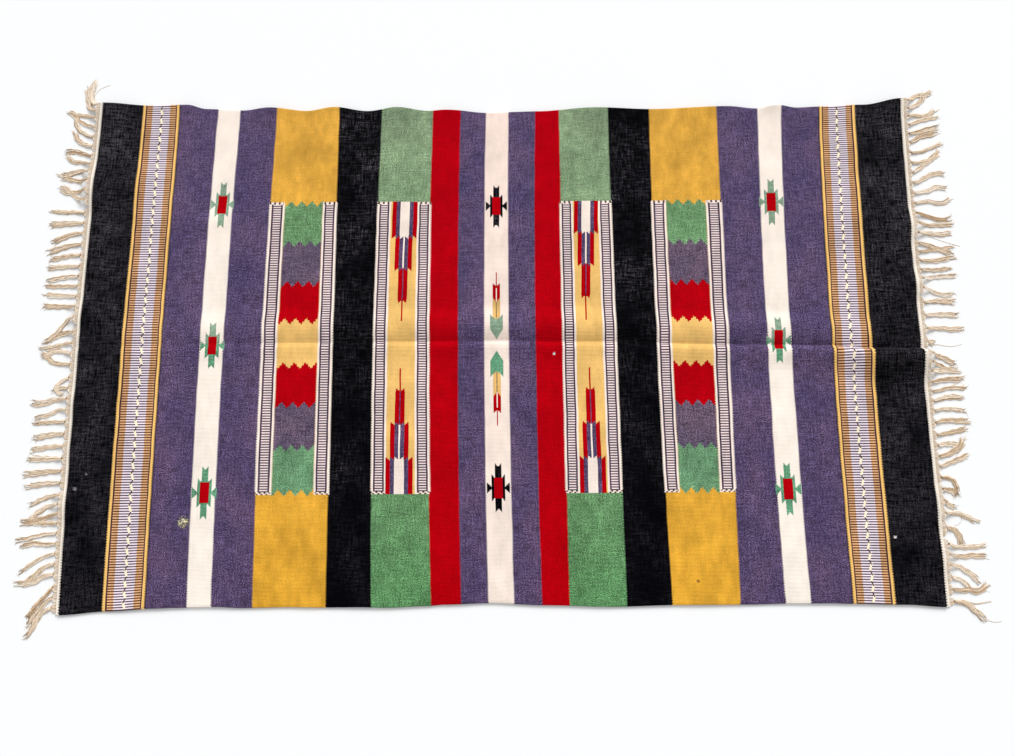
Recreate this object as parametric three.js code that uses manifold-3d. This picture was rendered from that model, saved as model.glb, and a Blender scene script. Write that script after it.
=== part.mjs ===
import * as THREE from "three";
import { mergeVertices } from "three/addons/utils/BufferGeometryUtils.js";
import Module from "manifold-3d";

// A flat-woven serape spread on a floor, in millimetres, +Z up.
// X runs along the warps, from fringed end to fringed end.
// Y runs across the cloth, from the near hem to the far hem.

const halfLength = 687; // middle of the cloth to the last weft, along the warps
const halfWidth = 432; // middle of the cloth to a selvedge
const clothThickness = 2.4;
const clothColumns = 40;
const mergeDistance = 1e-4; // corners closer than this are one

const headingWidth = 9.5; // the cream last wefts and the bare warps up to the knots
const headingThickness = 2.2;
const partingGap = 0.3; // between the cloth's end and its heading

const strandSides = 3;
const strandSteps = 3;
const rootSpacing = 3.7; // between the two strands of a tassel at their roots
const tipSpacing = 5.6; // and at their tips, where any two strands stay this far apart
const rootDepth = 1.5; // how far a strand runs into the heading
const unevenReach = 0.06; // how much longer or shorter than its group a strand may be
const unevenTurn = 2.4; // radians from one strand to the next in that unevenness
const spacingPasses = 40; // times that neighbouring tips are eased apart

// Where the rows of the cloth's mesh lie, measured from the fold line.
const rowSections = [
  { from: -halfWidth, to: -64, rows: 10 },
  { from: -64, to: -8, rows: 6 },
  { from: -8, to: 0, rows: 1 },
  { from: 0, to: 26, rows: 2 },
  { from: 26, to: 62, rows: 2 },
  { from: 62, to: 360, rows: 8 },
  { from: 360, to: halfWidth, rows: 3 },
];

// Where the stripes of the even, flat design lie in the cloth, as woven and as it lies now:
// along is the stripe edge in the flat design, and the others are its X at three places across.
const stripeEdges = [
  { along: -687, far: -684, fold: -693, near: -690 },
  { along: -611, far: -612, fold: -620, near: -621 },
  { along: -547, far: -547.5, fold: -554.5, near: -554 },
  { along: -482, far: -483, fold: -492.5, near: -490 },
  { along: -444, far: -445, fold: -454, near: -452.5 },
  { along: -380, far: -382, fold: -391, near: -389 },
  { along: -264, far: -275.5, fold: -277, near: -275 },
  { along: -197, far: -201.5, fold: -209, near: -204.5 },
  { along: -108, far: -114.5, fold: -119.5, near: -111 },
  { along: -63, far: -68, fold: -71.5, near: -65.5 },
  { along: -20, far: -24.5, fold: -28.5, near: -23 },
  { along: 20, far: 9.5, fold: 7, near: 12.5 },
  { along: 63, far: 55.5, fold: 51, near: 56.5 },
  { along: 108, far: 95.5, fold: 96, near: 97.5 },
  { along: 197, far: 179, fold: 182.5, near: 187 },
  { along: 264, far: 250.5, fold: 250.5, near: 258 },
  { along: 380, far: 366, fold: 365.5, near: 363.5 },
  { along: 444, far: 437.5, fold: 429.5, near: 433.5 },
  { along: 482, far: 477.5, fold: 468.5, near: 473 },
  { along: 547, far: 542, fold: 534.5, near: 538 },
  { along: 611, far: 604.5, fold: 600.5, near: 604.5 },
  { along: 687, far: 687, fold: 684, near: 687 },
];

// The two selvedges: how far out each lies, and how high the far one lifts in its ruffles.
const hemSections = [
  { along: -687, far: 427, near: -433, lift: 5 },
  { along: -600, far: 422.5, near: -427.5, lift: 1 },
  { along: -537, far: 421.5, near: -424, lift: 6 },
  { along: -505, far: 415, near: -423, lift: 2 },
  { along: -440, far: 412.5, near: -422, lift: 1 },
  { along: -396, far: 416, near: -424, lift: 6 },
  { along: -328, far: 411, near: -423, lift: 1 },
  { along: -274, far: 416, near: -424, lift: 6 },
  { along: -222, far: 410.5, near: -424, lift: 0 },
  { along: -174, far: 416, near: -425, lift: 5 },
  { along: -120, far: 410.5, near: -423, lift: 0 },
  { along: -90, far: 411, near: -421, lift: 4 },
  { along: -20, far: 406, near: -419, lift: 0 },
  { along: 74, far: 408, near: -423, lift: 2 },
  { along: 180, far: 413.5, near: -426, lift: 5 },
  { along: 270, far: 411, near: -424, lift: 2 },
  { along: 400, far: 414.5, near: -424, lift: 5 },
  { along: 445, far: 412, near: -423, lift: 0 },
  { along: 476, far: 416, near: -423, lift: 6 },
  { along: 511, far: 412.5, near: -423, lift: 1 },
  { along: 550, far: 413, near: -424, lift: 4 },
  { along: 627, far: 417, near: -426, lift: 3 },
  { along: 687, far: 427.5, near: -430, lift: 6 },
];
const hemReach = 75; // how far in from the far selvedge its ruffles fade
const slackFrom = 200; // the cloth keeps its woven width up to here, and draws in past it
const slackBend = 1.5; // the power by which it draws in

// The lengthwise fold: where its line lies across the cloth, how high the cloth swells on its
// far side, how high it stands as a ridge on its near side, and how far the ridge reaches.
const foldSections = [
  { along: -687, across: -5, swell: 2, ridge: 1, foot: 34 },
  { along: -480, across: -2, swell: 3, ridge: 1.6, foot: 32 },
  { along: -300, across: 0, swell: 5, ridge: 2, foot: 34 },
  { along: 0, across: 1, swell: 6, ridge: 2.4, foot: 34 },
  { along: 150, across: -1, swell: 6.5, ridge: 2.4, foot: 34 },
  { along: 420, across: -8, swell: 6.5, ridge: 4, foot: 40 },
  { along: 540, across: -10, swell: 6, ridge: 9, foot: 52 },
  { along: 600, across: -15, swell: 3.5, ridge: 15, foot: 60 },
  { along: 687, across: -16, swell: 2.5, ridge: 17, foot: 64 },
];
const swellCrest = 26; // from the fold line to the top of the swell
const swellFoot = 62; // and to where it has died away
const ridgeCrest = 8; // from the fold line to the top of the ridge

// Low waves near the two ends: middle, half length along the crest, half width and height,
// and the crest's turn from the warps in degrees.
const waves = [
  { along: -687, across: 276, reach: 120, width: 56, height: 8.5, turn: -6 },
  { along: -660, across: 52, reach: 80, width: 30, height: 4, turn: 4 },
  { along: -655, across: -95, reach: 80, width: 30, height: 3, turn: 0 },
  { along: -650, across: -158, reach: 70, width: 26, height: 3, turn: 45 },
  { along: -687, across: -262, reach: 70, width: 34, height: 4, turn: 8 },
  { along: 675, across: 200, reach: 90, width: 34, height: 6, turn: -12 },
  { along: 675, across: 92, reach: 80, width: 32, height: 6, turn: 10 },
  { along: 687, across: -275, reach: 70, width: 44, height: 4, turn: 0 },
  { along: 687, across: -355, reach: 70, width: 40, height: 4, turn: 0 },
  { along: -470, across: 215, reach: 110, width: 34, height: 2, turn: 12 },
  { along: 395, across: -110, reach: 120, width: 34, height: 2, turn: -8 },
];

// The fringe, from the far corner to the near one, in groups of tassels that lie alike:
// knot is the place across of a group's first tassel, and the rest follow evenly up to the next
// group. Lean is how far their tips lie past their knots towards the far side, reach how far out.
const leftTassels = [
  { knot: 428, tassels: 1, lean: 49, reach: 16 },
  { knot: 418, tassels: 1, lean: 38, reach: 28 },
  { knot: 405, tassels: 4, lean: 27, reach: 38 },
  { knot: 333, tassels: 2, lean: 14, reach: 42 },
  { knot: 303, tassels: 3, lean: 3, reach: 46 },
  { knot: 251, tassels: 1, lean: 14, reach: 46 },
  { knot: 228, tassels: 2, lean: 2, reach: 54 },
  { knot: 192, tassels: 3, lean: -12, reach: 50 },
  { knot: 134, tassels: 3, lean: -3, reach: 49 },
  { knot: 82, tassels: 2, lean: 6, reach: 55 },
  { knot: 46, tassels: 1, lean: -18, reach: 34 },
  { knot: 20, tassels: 3, lean: -9, reach: 46 },
  { knot: -34, tassels: 1, lean: 6, reach: 40 },
  { knot: -56, tassels: 2, lean: -8, reach: 24 },
  { knot: -91, tassels: 2, lean: -8, reach: 52 },
  { knot: -129, tassels: 4, lean: -3, reach: 50 },
  { knot: -208, tassels: 2, lean: -5, reach: 53 },
  { knot: -247, tassels: 3, lean: -18, reach: 48 },
  { knot: -291, tassels: 3, lean: -2, reach: 56 },
  { knot: -338, tassels: 2, lean: -16, reach: 49 },
  { knot: -370, tassels: 1, lean: -20, reach: 54 },
  { knot: -390, tassels: 3, lean: -38, reach: 38 },
];
const rightTassels = [
  { knot: 428, tassels: 2, lean: 20, reach: 44 },
  { knot: 400, tassels: 3, lean: 14, reach: 50 },
  { knot: 350, tassels: 5, lean: 18, reach: 52 },
  { knot: 256, tassels: 2, lean: 5, reach: 57 },
  { knot: 219, tassels: 3, lean: -5, reach: 56 },
  { knot: 166, tassels: 2, lean: -11, reach: 55 },
  { knot: 136, tassels: 3, lean: 3, reach: 52 },
  { knot: 87, tassels: 1, lean: -8, reach: 47 },
  { knot: 63, tassels: 4, lean: 1, reach: 52 },
  { knot: -27, tassels: 2, lean: -13, reach: 37 },
  { knot: -55, tassels: 1, lean: -2, reach: 46 },
  { knot: -72, tassels: 3, lean: 5, reach: 53 },
  { knot: -119, tassels: 2, lean: 1, reach: 53 },
  { knot: -159, tassels: 4, lean: 14, reach: 46 },
  { knot: -228, tassels: 2, lean: -8, reach: 24 },
  { knot: -265, tassels: 1, lean: -5, reach: 20 },
  { knot: -285, tassels: 1, lean: -14, reach: 48 },
  { knot: -308, tassels: 1, lean: -14, reach: 26 },
  { knot: -334, tassels: 2, lean: -4, reach: 57 },
  { knot: -367, tassels: 2, lean: -14, reach: 40 },
  { knot: -405, tassels: 1, lean: -16, reach: 55 },
  { knot: -423, tassels: 1, lean: -28, reach: 50 },
];
const lastKnot = -436; // where one more tassel would be knotted

// A strand from its root to its tip: at is the share of its length, base and top are heights
// over the floor. The root enters the heading's outer side, and the knot stands just past it.
const strandForm = [
  { at: 0, width: 2.2, base: 0.5, top: 1.3 },
  { at: 0.15, width: 3.3, base: 0.2, top: 4.2 },
  { at: 0.5, width: 3.1, base: 0, top: 2.8 },
  { at: 1, width: 2.2, base: 0, top: 1.6 },
];
const strandLanding = 0.5; // the share of its length by which a strand is down on the floor
const outBend = 0.8; // powers that set how a strand's way out and its lean grow along it
const leanBend = 1.6;
const cornerX = Math.sin((2 * Math.PI) / strandSides); // a corner of the unit rod
const capLevel = 0.3; // the middle of an end, as a share of its height

const clothMaterial = new THREE.MeshStandardMaterial({
  name: "woven wool",
  color: 0x5b5272,
  roughness: 0.95,
  metalness: 0,
});
const fringeMaterial = new THREE.MeshStandardMaterial({
  name: "undyed warp yarn",
  color: 0xd9c3a3,
  roughness: 0.95,
  metalness: 0,
});

const wasm = await Module();
wasm.setup();

// A value from a table, between its rows, by straight or eased steps.
function readTable(rows, key, column, place, eased) {
  const last = rows.length - 1;
  if (place <= rows[0][key]) return rows[0][column];
  if (place >= rows[last][key]) return rows[last][column];
  const after = rows.findIndex((row) => row[key] > place);
  const low = rows[after - 1];
  const high = rows[after];
  const share = (place - low[key]) / (high[key] - low[key]);
  const blend = eased ? share * share * (3 - 2 * share) : share;
  return low[column] + (high[column] - low[column]) * blend;
}

// One at the middle, nothing past the reach, and smooth between.
function softHump(distance, reach) {
  const share = Math.min(Math.abs(distance) / reach, 1);
  return (1 - share * share) ** 2;
}

// How far a place of the flat cloth lies along X.
function alongAt(along, across) {
  const far = readTable(stripeEdges, "along", "far", along, false);
  const fold = readTable(stripeEdges, "along", "fold", along, false);
  const near = readTable(stripeEdges, "along", "near", along, false);
  const share = across / halfWidth;
  const lean = (far - near) / 2;
  const bow = (far + near) / 2 - fold;
  return fold + lean * share + bow * share * share;
}

// How far it lies along Y.
function acrossAt(along, across) {
  const side = across > 0 ? "far" : "near";
  const hem = readTable(hemSections, "along", side, along, true);
  const slack = (Math.abs(across) - slackFrom) / (halfWidth - slackFrom);
  const blend = Math.max(slack, 0) ** slackBend;
  return across + (hem - Math.sign(across) * halfWidth) * blend;
}

// How high its underside lies over the floor.
function liftAt(along, across) {
  const line = readTable(foldSections, "along", "across", along, true);
  const offLine = across - line;
  let lift = 0;
  if (offLine > 0 && offLine < swellFoot) {
    const swell = readTable(foldSections, "along", "swell", along, true);
    const rise = 1 - (1 - offLine / swellCrest) ** 2;
    const fall = softHump(offLine - swellCrest, swellFoot - swellCrest);
    lift += swell * (offLine < swellCrest ? rise : fall);
  }
  const ridgeFoot = readTable(foldSections, "along", "foot", along, true);
  if (offLine <= 0 && offLine > -ridgeFoot) {
    const ridge = readTable(foldSections, "along", "ridge", along, true);
    const steep = offLine > -ridgeCrest;
    const share = steep ? -offLine / ridgeCrest : (offLine + ridgeFoot) / (ridgeFoot - ridgeCrest);
    lift += ridge * (steep ? share : share * share * (3 - 2 * share));
  }
  const fromHem = halfWidth - across;
  if (fromHem < hemReach) {
    const hemLift = readTable(hemSections, "along", "lift", along, true);
    lift += hemLift * (1 - fromHem / hemReach) ** 2;
  }
  for (const wave of waves) {
    const turn = THREE.MathUtils.degToRad(wave.turn);
    const x = along - wave.along;
    const y = across - wave.across;
    const down = x * Math.cos(turn) + y * Math.sin(turn);
    const aside = y * Math.cos(turn) - x * Math.sin(turn);
    lift += wave.height * softHump(down, wave.reach) * softHump(aside, wave.width);
  }
  return lift;
}

// The places across the cloth, for the rows of a mesh at one place along it.
function placesAcross(along) {
  const line = readTable(foldSections, "along", "across", along, true);
  const places = [-halfWidth];
  for (const section of rowSections) {
    const step = (section.to - section.from) / section.rows;
    for (let row = 1; row <= section.rows; row += 1) {
      places.push(section.from + step * row);
    }
  }
  return places.map((place) => place + line * (1 - Math.abs(place) / halfWidth));
}
const rowCount = placesAcross(0).length - 1;

// A geometry with only its shared corners and its faces.
function plainGeometry(geometry) {
  geometry.deleteAttribute("normal");
  geometry.deleteAttribute("uv");
  return mergeVertices(geometry, mergeDistance);
}

// A box's corners moved onto the cloth's rows, by a function of column share, place and level.
function strip(columns, thickness, placeCorner) {
  const box = new THREE.BoxGeometry(1, 1, 1, columns, rowCount, 1);
  const geometry = plainGeometry(box);
  const corners = geometry.getAttribute("position");
  for (let i = 0; i < corners.count; i += 1) {
    const column = corners.getX(i) + 0.5;
    const row = Math.round((corners.getY(i) + 0.5) * rowCount);
    const level = (corners.getZ(i) + 0.5) * thickness;
    corners.setXYZ(i, ...placeCorner(column, row, level));
  }
  return geometry;
}

// The woven cloth, one sheet.
function makeCloth() {
  return strip(clothColumns, clothThickness, (column, row, level) => {
    const along = (column * 2 - 1) * halfLength;
    const across = placesAcross(along)[row];
    return [alongAt(along, across), acrossAt(along, across), liftAt(along, across) + level];
  });
}

// The strip of heading and bare warps past one end of the cloth: side is -1 or 1.
function makeHeading(side) {
  return strip(1, headingThickness, (column, row, level) => {
    const across = placesAcross(side * halfLength)[row];
    const out = side > 0 ? column : 1 - column;
    const edge = alongAt(side * halfLength, across);
    const x = edge + side * (partingGap + out * headingWidth);
    const y = acrossAt(side * halfLength, across);
    return [x, y, liftAt(side * halfLength, across) + level];
  });
}

// How high the heading of one end lies at a place across, on the facets between its rows.
function headingLift(side, across) {
  const rows = placesAcross(side * halfLength).map((place) => {
    return { place, lift: liftAt(side * halfLength, place) };
  });
  return readTable(rows, "place", "lift", across, false);
}

// Where each strand of one end starts and stops, with the tips kept apart in their order.
function strandRoutes(side, groups) {
  const routes = [];
  groups.forEach((group, index) => {
    const next = index + 1 < groups.length ? groups[index + 1].knot : lastKnot;
    const pitch = (group.knot - next) / group.tassels;
    const length = Math.hypot(group.reach, group.lean);
    const outShare = group.reach / length;
    const leanShare = group.lean / length;
    for (let i = 0; i < group.tassels; i += 1) {
      const across = group.knot - pitch * i;
      const edge = alongAt(side * halfLength, across);
      const knotY = acrossAt(side * halfLength, across);
      const startX = edge + side * (partingGap + headingWidth - rootDepth);
      for (const apart of [0.5, -0.5]) {
        const uneven = 1 + unevenReach * Math.sin(routes.length * unevenTurn);
        const out = rootDepth + group.reach * uneven - leanShare * apart * tipSpacing;
        routes.push({
          startX,
          startY: knotY + apart * rootSpacing,
          startZ: headingLift(side, across + apart * rootSpacing),
          endX: startX + side * out,
          endY: knotY + group.lean * uneven + outShare * apart * tipSpacing,
          spacing: tipSpacing / outShare,
        });
      }
    }
  });
  for (let pass = 0; pass < spacingPasses; pass += 1) {
    for (let i = 1; i < routes.length; i += 1) {
      const least = (routes[i - 1].spacing + routes[i].spacing) / 2;
      const short = least - (routes[i - 1].endY - routes[i].endY);
      if (short > 0) {
        routes[i - 1].endY += short / 2;
        routes[i].endY -= short / 2;
      }
    }
  }
  return routes;
}

// A strand with a flat underside along its route: it leaves the heading square and then leans.
function makeStrand(route) {
  const rod = new THREE.CylinderGeometry(1, 1, 1, strandSides, strandSteps);
  const geometry = plainGeometry(rod);
  const corners = geometry.getAttribute("position");
  const out = route.endX - route.startX;
  const lean = route.endY - route.startY;
  for (let i = 0; i < corners.count; i += 1) {
    const step = Math.round((0.5 - corners.getY(i)) * strandSteps);
    const form = strandForm[step];
    const centreX = route.startX + out * form.at ** outBend;
    const centreY = route.startY + lean * form.at ** leanBend;
    const slopeX = out * outBend;
    const slopeY = lean * leanBend * form.at ** (leanBend - outBend);
    const slope = Math.hypot(slopeX, slopeY);
    const onRim = Math.hypot(corners.getX(i), corners.getZ(i)) > 0.5;
    const aside = onRim ? (corners.getX(i) / cornerX) * (form.width / 2) : 0;
    const crest = onRim ? (corners.getZ(i) > 0.5 ? 1 : 0) : capLevel;
    const drop = route.startZ * Math.max(1 - form.at / strandLanding, 0);
    corners.setXYZ(
      i,
      centreX - (slopeY / slope) * aside,
      centreY + (slopeX / slope) * aside,
      drop + form.base + crest * (form.top - form.base),
    );
  }
  return geometry;
}

function toSolid(geometry) {
  const corners = geometry.getAttribute("position").array;
  const faces = geometry.getIndex().array;
  const mesh = new wasm.Mesh({
    numProp: 3,
    vertProperties: new Float32Array(corners),
    triVerts: new Uint32Array(faces),
  });
  return new wasm.Manifold(mesh);
}

function toGeometry(solid) {
  const data = solid.getMesh();
  const geometry = new THREE.BufferGeometry();
  geometry.setAttribute("position", new THREE.BufferAttribute(data.vertProperties, 3));
  geometry.setIndex(new THREE.BufferAttribute(data.triVerts, 1));
  return geometry;
}

// The fringe of one end: its heading with every strand fused to it by the root.
function makeFringe(side, groups) {
  let solid = toSolid(makeHeading(side));
  for (const route of strandRoutes(side, groups)) {
    solid = solid.add(toSolid(makeStrand(route)));
  }
  return toGeometry(solid);
}

function namedMesh(name, geometry, material) {
  geometry.computeVertexNormals();
  const mesh = new THREE.Mesh(geometry, material);
  mesh.name = name;
  return mesh;
}

const serape = new THREE.Group();
serape.add(namedMesh("woven_cloth", makeCloth(), clothMaterial));
serape.add(namedMesh("left_fringe", makeFringe(-1, leftTassels), fringeMaterial));
serape.add(namedMesh("right_fringe", makeFringe(1, rightTassels), fringeMaterial));

// The origin is the middle of the whole, fringes included, on the floor.
const extent = new THREE.Box3().setFromObject(serape);
const middle = extent.getCenter(new THREE.Vector3());
serape.position.set(-middle.x, -middle.y, -extent.min.z);

export default serape;
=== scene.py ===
import math
import random

import bpy
import numpy as np
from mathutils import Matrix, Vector


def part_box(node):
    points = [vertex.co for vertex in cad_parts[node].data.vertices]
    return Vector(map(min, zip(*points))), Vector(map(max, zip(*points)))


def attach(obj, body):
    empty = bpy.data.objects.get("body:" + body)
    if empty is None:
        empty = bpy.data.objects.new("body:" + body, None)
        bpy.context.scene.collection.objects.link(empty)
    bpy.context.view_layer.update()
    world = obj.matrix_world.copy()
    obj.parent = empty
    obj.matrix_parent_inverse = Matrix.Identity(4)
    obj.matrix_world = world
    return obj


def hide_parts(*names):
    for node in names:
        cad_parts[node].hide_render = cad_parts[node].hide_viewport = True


# A striped wool serape spread on a pale floor, with a knotted warp fringe at both ends.
# X runs along the warps, Y across the cloth from the near hem to the far one.
# Places in the tables are millimetres from the middle of the cloth, as in the part's source.

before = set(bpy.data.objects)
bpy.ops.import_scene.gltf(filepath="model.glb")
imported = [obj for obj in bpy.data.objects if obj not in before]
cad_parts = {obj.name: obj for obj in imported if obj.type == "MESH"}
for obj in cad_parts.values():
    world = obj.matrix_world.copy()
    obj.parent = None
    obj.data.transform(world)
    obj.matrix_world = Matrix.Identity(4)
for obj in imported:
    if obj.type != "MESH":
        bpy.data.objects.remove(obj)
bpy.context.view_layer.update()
bpy.ops.object.select_all(action="DESELECT")
mm = 0.001

# Where the stripe edges of the even, flat design lie, at three places across the cloth.
stripeEdges = {"columns": ("along", "far", "fold", "near"), "rows": (
    (-687, -684, -693, -690), (-611, -612, -620, -621), (-547, -547.5, -554.5, -554),
    (-482, -483, -492.5, -490), (-444, -445, -454, -452.5), (-380, -382, -391, -389),
    (-264, -275.5, -277, -275), (-197, -201.5, -209, -204.5), (-108, -114.5, -119.5, -111),
    (-63, -68, -71.5, -65.5), (-20, -24.5, -28.5, -23), (20, 9.5, 7, 12.5),
    (63, 55.5, 51, 56.5), (108, 95.5, 96, 97.5), (197, 179, 182.5, 187),
    (264, 250.5, 250.5, 258), (380, 366, 365.5, 363.5), (444, 437.5, 429.5, 433.5),
    (482, 477.5, 468.5, 473), (547, 542, 534.5, 538), (611, 604.5, 600.5, 604.5),
    (687, 687, 684, 687),
)}

# The two selvedges, and how high the far one lifts in its ruffles.
hemSections = {"columns": ("along", "far", "near", "lift"), "rows": (
    (-687, 427, -433, 5), (-600, 422.5, -427.5, 1), (-537, 421.5, -424, 6),
    (-505, 415, -423, 2), (-440, 412.5, -422, 1), (-396, 416, -424, 6),
    (-328, 411, -423, 1), (-274, 416, -424, 6), (-222, 410.5, -424, 0),
    (-174, 416, -425, 5), (-120, 410.5, -423, 0), (-90, 411, -421, 4),
    (-20, 406, -419, 0), (74, 408, -423, 2), (180, 413.5, -426, 5),
    (270, 411, -424, 2), (400, 414.5, -424, 5), (445, 412, -423, 0),
    (476, 416, -423, 6), (511, 412.5, -423, 1), (550, 413, -424, 4),
    (627, 417, -426, 3), (687, 427.5, -430, 6),
)}

# The lengthwise fold: its line, the swell on its far side, the ridge on its near side, and how
# far from the line the ridge has died away.
foldSections = {"columns": ("along", "across", "swell", "ridge", "foot"), "rows": (
    (-687, -5, 2, 1, 34), (-480, -2, 3, 1.6, 32), (-300, 0, 5, 2, 34), (0, 1, 6, 2.4, 34),
    (150, -1, 6.5, 2.4, 34), (420, -8, 6.5, 4, 40), (540, -10, 6, 9, 52),
    (600, -15, 3.5, 15, 60), (687, -16, 2.5, 17, 64),
)}

# Low waves near the two ends: middle, half length, half width, height and turn in degrees.
waves = (
    {"along": -687, "across": 276, "reach": 120, "width": 56, "height": 8.5, "turn": -6},
    {"along": -660, "across": 52, "reach": 80, "width": 30, "height": 4, "turn": 4},
    {"along": -655, "across": -95, "reach": 80, "width": 30, "height": 3, "turn": 0},
    {"along": -650, "across": -158, "reach": 70, "width": 26, "height": 3, "turn": 45},
    {"along": -687, "across": -262, "reach": 70, "width": 34, "height": 4, "turn": 8},
    {"along": 675, "across": 200, "reach": 90, "width": 34, "height": 6, "turn": -12},
    {"along": 675, "across": 92, "reach": 80, "width": 32, "height": 6, "turn": 10},
    {"along": 687, "across": -275, "reach": 70, "width": 44, "height": 4, "turn": 0},
    {"along": 687, "across": -355, "reach": 70, "width": 40, "height": 4, "turn": 0},
    {"along": -470, "across": 215, "reach": 110, "width": 34, "height": 2, "turn": 12},
    {"along": 395, "across": -110, "reach": 120, "width": 34, "height": 2, "turn": -8},
)

lie = {
    "halfLength": 687,
    "halfWidth": 432,
    "slackFrom": 200,  # the cloth keeps its woven width up to here, and draws in past it
    "hemReach": 75,
    "swellCrest": 26,
    "swellFoot": 62,
    "ridgeCrest": 8,
}


# A value from a table at each place, between its rows, by straight or eased steps.
def readTable(table, place, column, eased=False):
    rows = np.array(table["rows"], float)
    keys = rows[:, 0]
    values = rows[:, table["columns"].index(column)]
    place = np.clip(place, keys[0], keys[-1])
    after = np.clip(np.searchsorted(keys, place, side="right"), 1, len(keys) - 1)
    share = (place - keys[after - 1]) / (keys[after] - keys[after - 1])
    if eased:
        share = share * share * (3 - 2 * share)
    return values[after - 1] + (values[after] - values[after - 1]) * share


def softHump(distance, reach):
    share = np.minimum(np.abs(distance) / reach, 1)
    return (1 - share * share) ** 2


# How far along X a place of the flat cloth lies.
def alongAt(along, across):
    far, fold, near = (readTable(stripeEdges, along, side) for side in ("far", "fold", "near"))
    share = across / lie["halfWidth"]
    return fold + (far - near) / 2 * share + ((far + near) / 2 - fold) * share * share


# How far along Y it lies.
def acrossAt(along, across):
    far = readTable(hemSections, along, "far", eased=True)
    near = readTable(hemSections, along, "near", eased=True)
    hem = np.where(across > 0, far, near)
    slack = (np.abs(across) - lie["slackFrom"]) / (lie["halfWidth"] - lie["slackFrom"])
    blend = np.maximum(slack, 0) ** 1.5
    return across + (hem - np.sign(across) * lie["halfWidth"]) * blend


# How high its underside lies over the floor.
def liftAt(along, across):
    offLine = across - readTable(foldSections, along, "across", eased=True)
    swell = readTable(foldSections, along, "swell", eased=True)
    rising = 1 - (1 - np.clip(offLine / lie["swellCrest"], 0, 1)) ** 2
    falling = softHump(offLine - lie["swellCrest"], lie["swellFoot"] - lie["swellCrest"])
    lift = swell * np.where(offLine < lie["swellCrest"], rising, falling)
    ridge = readTable(foldSections, along, "ridge", eased=True)
    steep = np.clip(-offLine / lie["ridgeCrest"], 0, 1)
    foot = readTable(foldSections, along, "foot", eased=True)
    slope = np.clip((offLine + foot) / (foot - lie["ridgeCrest"]), 0, 1)
    near = slope * slope * (3 - 2 * slope)
    lift += ridge * np.where(offLine > -lie["ridgeCrest"], steep, near)
    fromHem = np.clip((lie["halfWidth"] - across) / lie["hemReach"], 0, 1)
    lift += readTable(hemSections, along, "lift", eased=True) * (1 - fromHem) ** 2
    for wave in waves:
        turn = math.radians(wave["turn"])
        x, y = along - wave["along"], across - wave["across"]
        down = x * math.cos(turn) + y * math.sin(turn)
        aside = y * math.cos(turn) - x * math.sin(turn)
        lift += wave["height"] * softHump(down, wave["reach"]) * softHump(aside, wave["width"])
    return lift


# The frame's origin is under the middle of the whole serape, so the tables' places are moved to it.
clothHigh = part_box("woven_cloth")[1]
toFrame = Vector((
    clothHigh.x - stripeEdges["rows"][-1][1] * mm,
    clothHigh.y - max(row[1] for row in hemSections["rows"]) * mm,
    0,
))


def deselectAll():
    bpy.ops.object.select_all(action="DESELECT")


# Puts a mesh's corners where an array of millimetre places says, in the frame's metres.
def placeCorners(piece, places):
    metres = places * mm + np.array(toFrame)
    piece.data.vertices.foreach_set("co", metres.astype(np.float32).ravel())
    piece.data.update()


def cornersOf(piece):
    corners = np.zeros(len(piece.data.vertices) * 3, np.float32)
    piece.data.vertices.foreach_get("co", corners)
    return corners.reshape(-1, 3).astype(float)


# Writes a map of each face corner's place from an array with a row for each vertex.
def addMap(piece, name, places):
    layer = piece.data.uv_layers.new(name=name)
    vertexOf = np.zeros(len(piece.data.loops), np.int32)
    piece.data.loops.foreach_get("vertex_index", vertexOf)
    layer.data.foreach_set("uv", places[vertexOf].astype(np.float32).ravel())


def removeMaps(piece, kept=0):
    while len(piece.data.uv_layers) > kept:
        piece.data.uv_layers.remove(piece.data.uv_layers[0])


def applyModifier(piece, kind, **settings):
    bpy.context.view_layer.objects.active = piece
    modifier = piece.modifiers.new(kind, kind)
    for key, value in settings.items():
        setattr(modifier, key, value)
    bpy.ops.object.modifier_apply(modifier=modifier.name)


# The woven cloth, one sheet.
clothSheet = {
    "thickness": 2.4,
    "columns": 252,
    "rowSections": (  # places across from the fold line, and how many rows lie between them
        (-432, -64, 66), (-64, -8, 14), (-8, 0, 4), (0, 26, 8),
        (26, 62, 11), (62, 360, 53), (360, 432, 15),
    ),
    "edgeRound": 0.9,  # the selvedge's weft turns round its last warp
    "puckers": (  # low unevenness of the flat parts: wave lengths along and across, and height
        (310, 170, 0.35), (190, 240, 0.3), (120, 90, 0.2), (75, 130, 0.12),
    ),
}


def clothRows():
    places = [clothSheet["rowSections"][0][0]]
    for start, stop, rows in clothSheet["rowSections"]:
        places += [start + (stop - start) * (row + 1) / rows for row in range(rows)]
    return np.array(places, float)


# Slow unevenness in the flat parts, which never takes the cloth under the floor.
def puckerAt(along, across):
    rise = np.zeros_like(along)
    for turn, (longWave, wideWave, height) in enumerate(clothSheet["puckers"]):
        waveAlong = np.sin(along / longWave * 2 * math.pi + turn * 1.7 + across / 400)
        waveAcross = np.sin(across / wideWave * 2 * math.pi + turn * 2.3 + along / 500)
        rise += height * (1 + waveAlong * waveAcross)
    return rise


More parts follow.
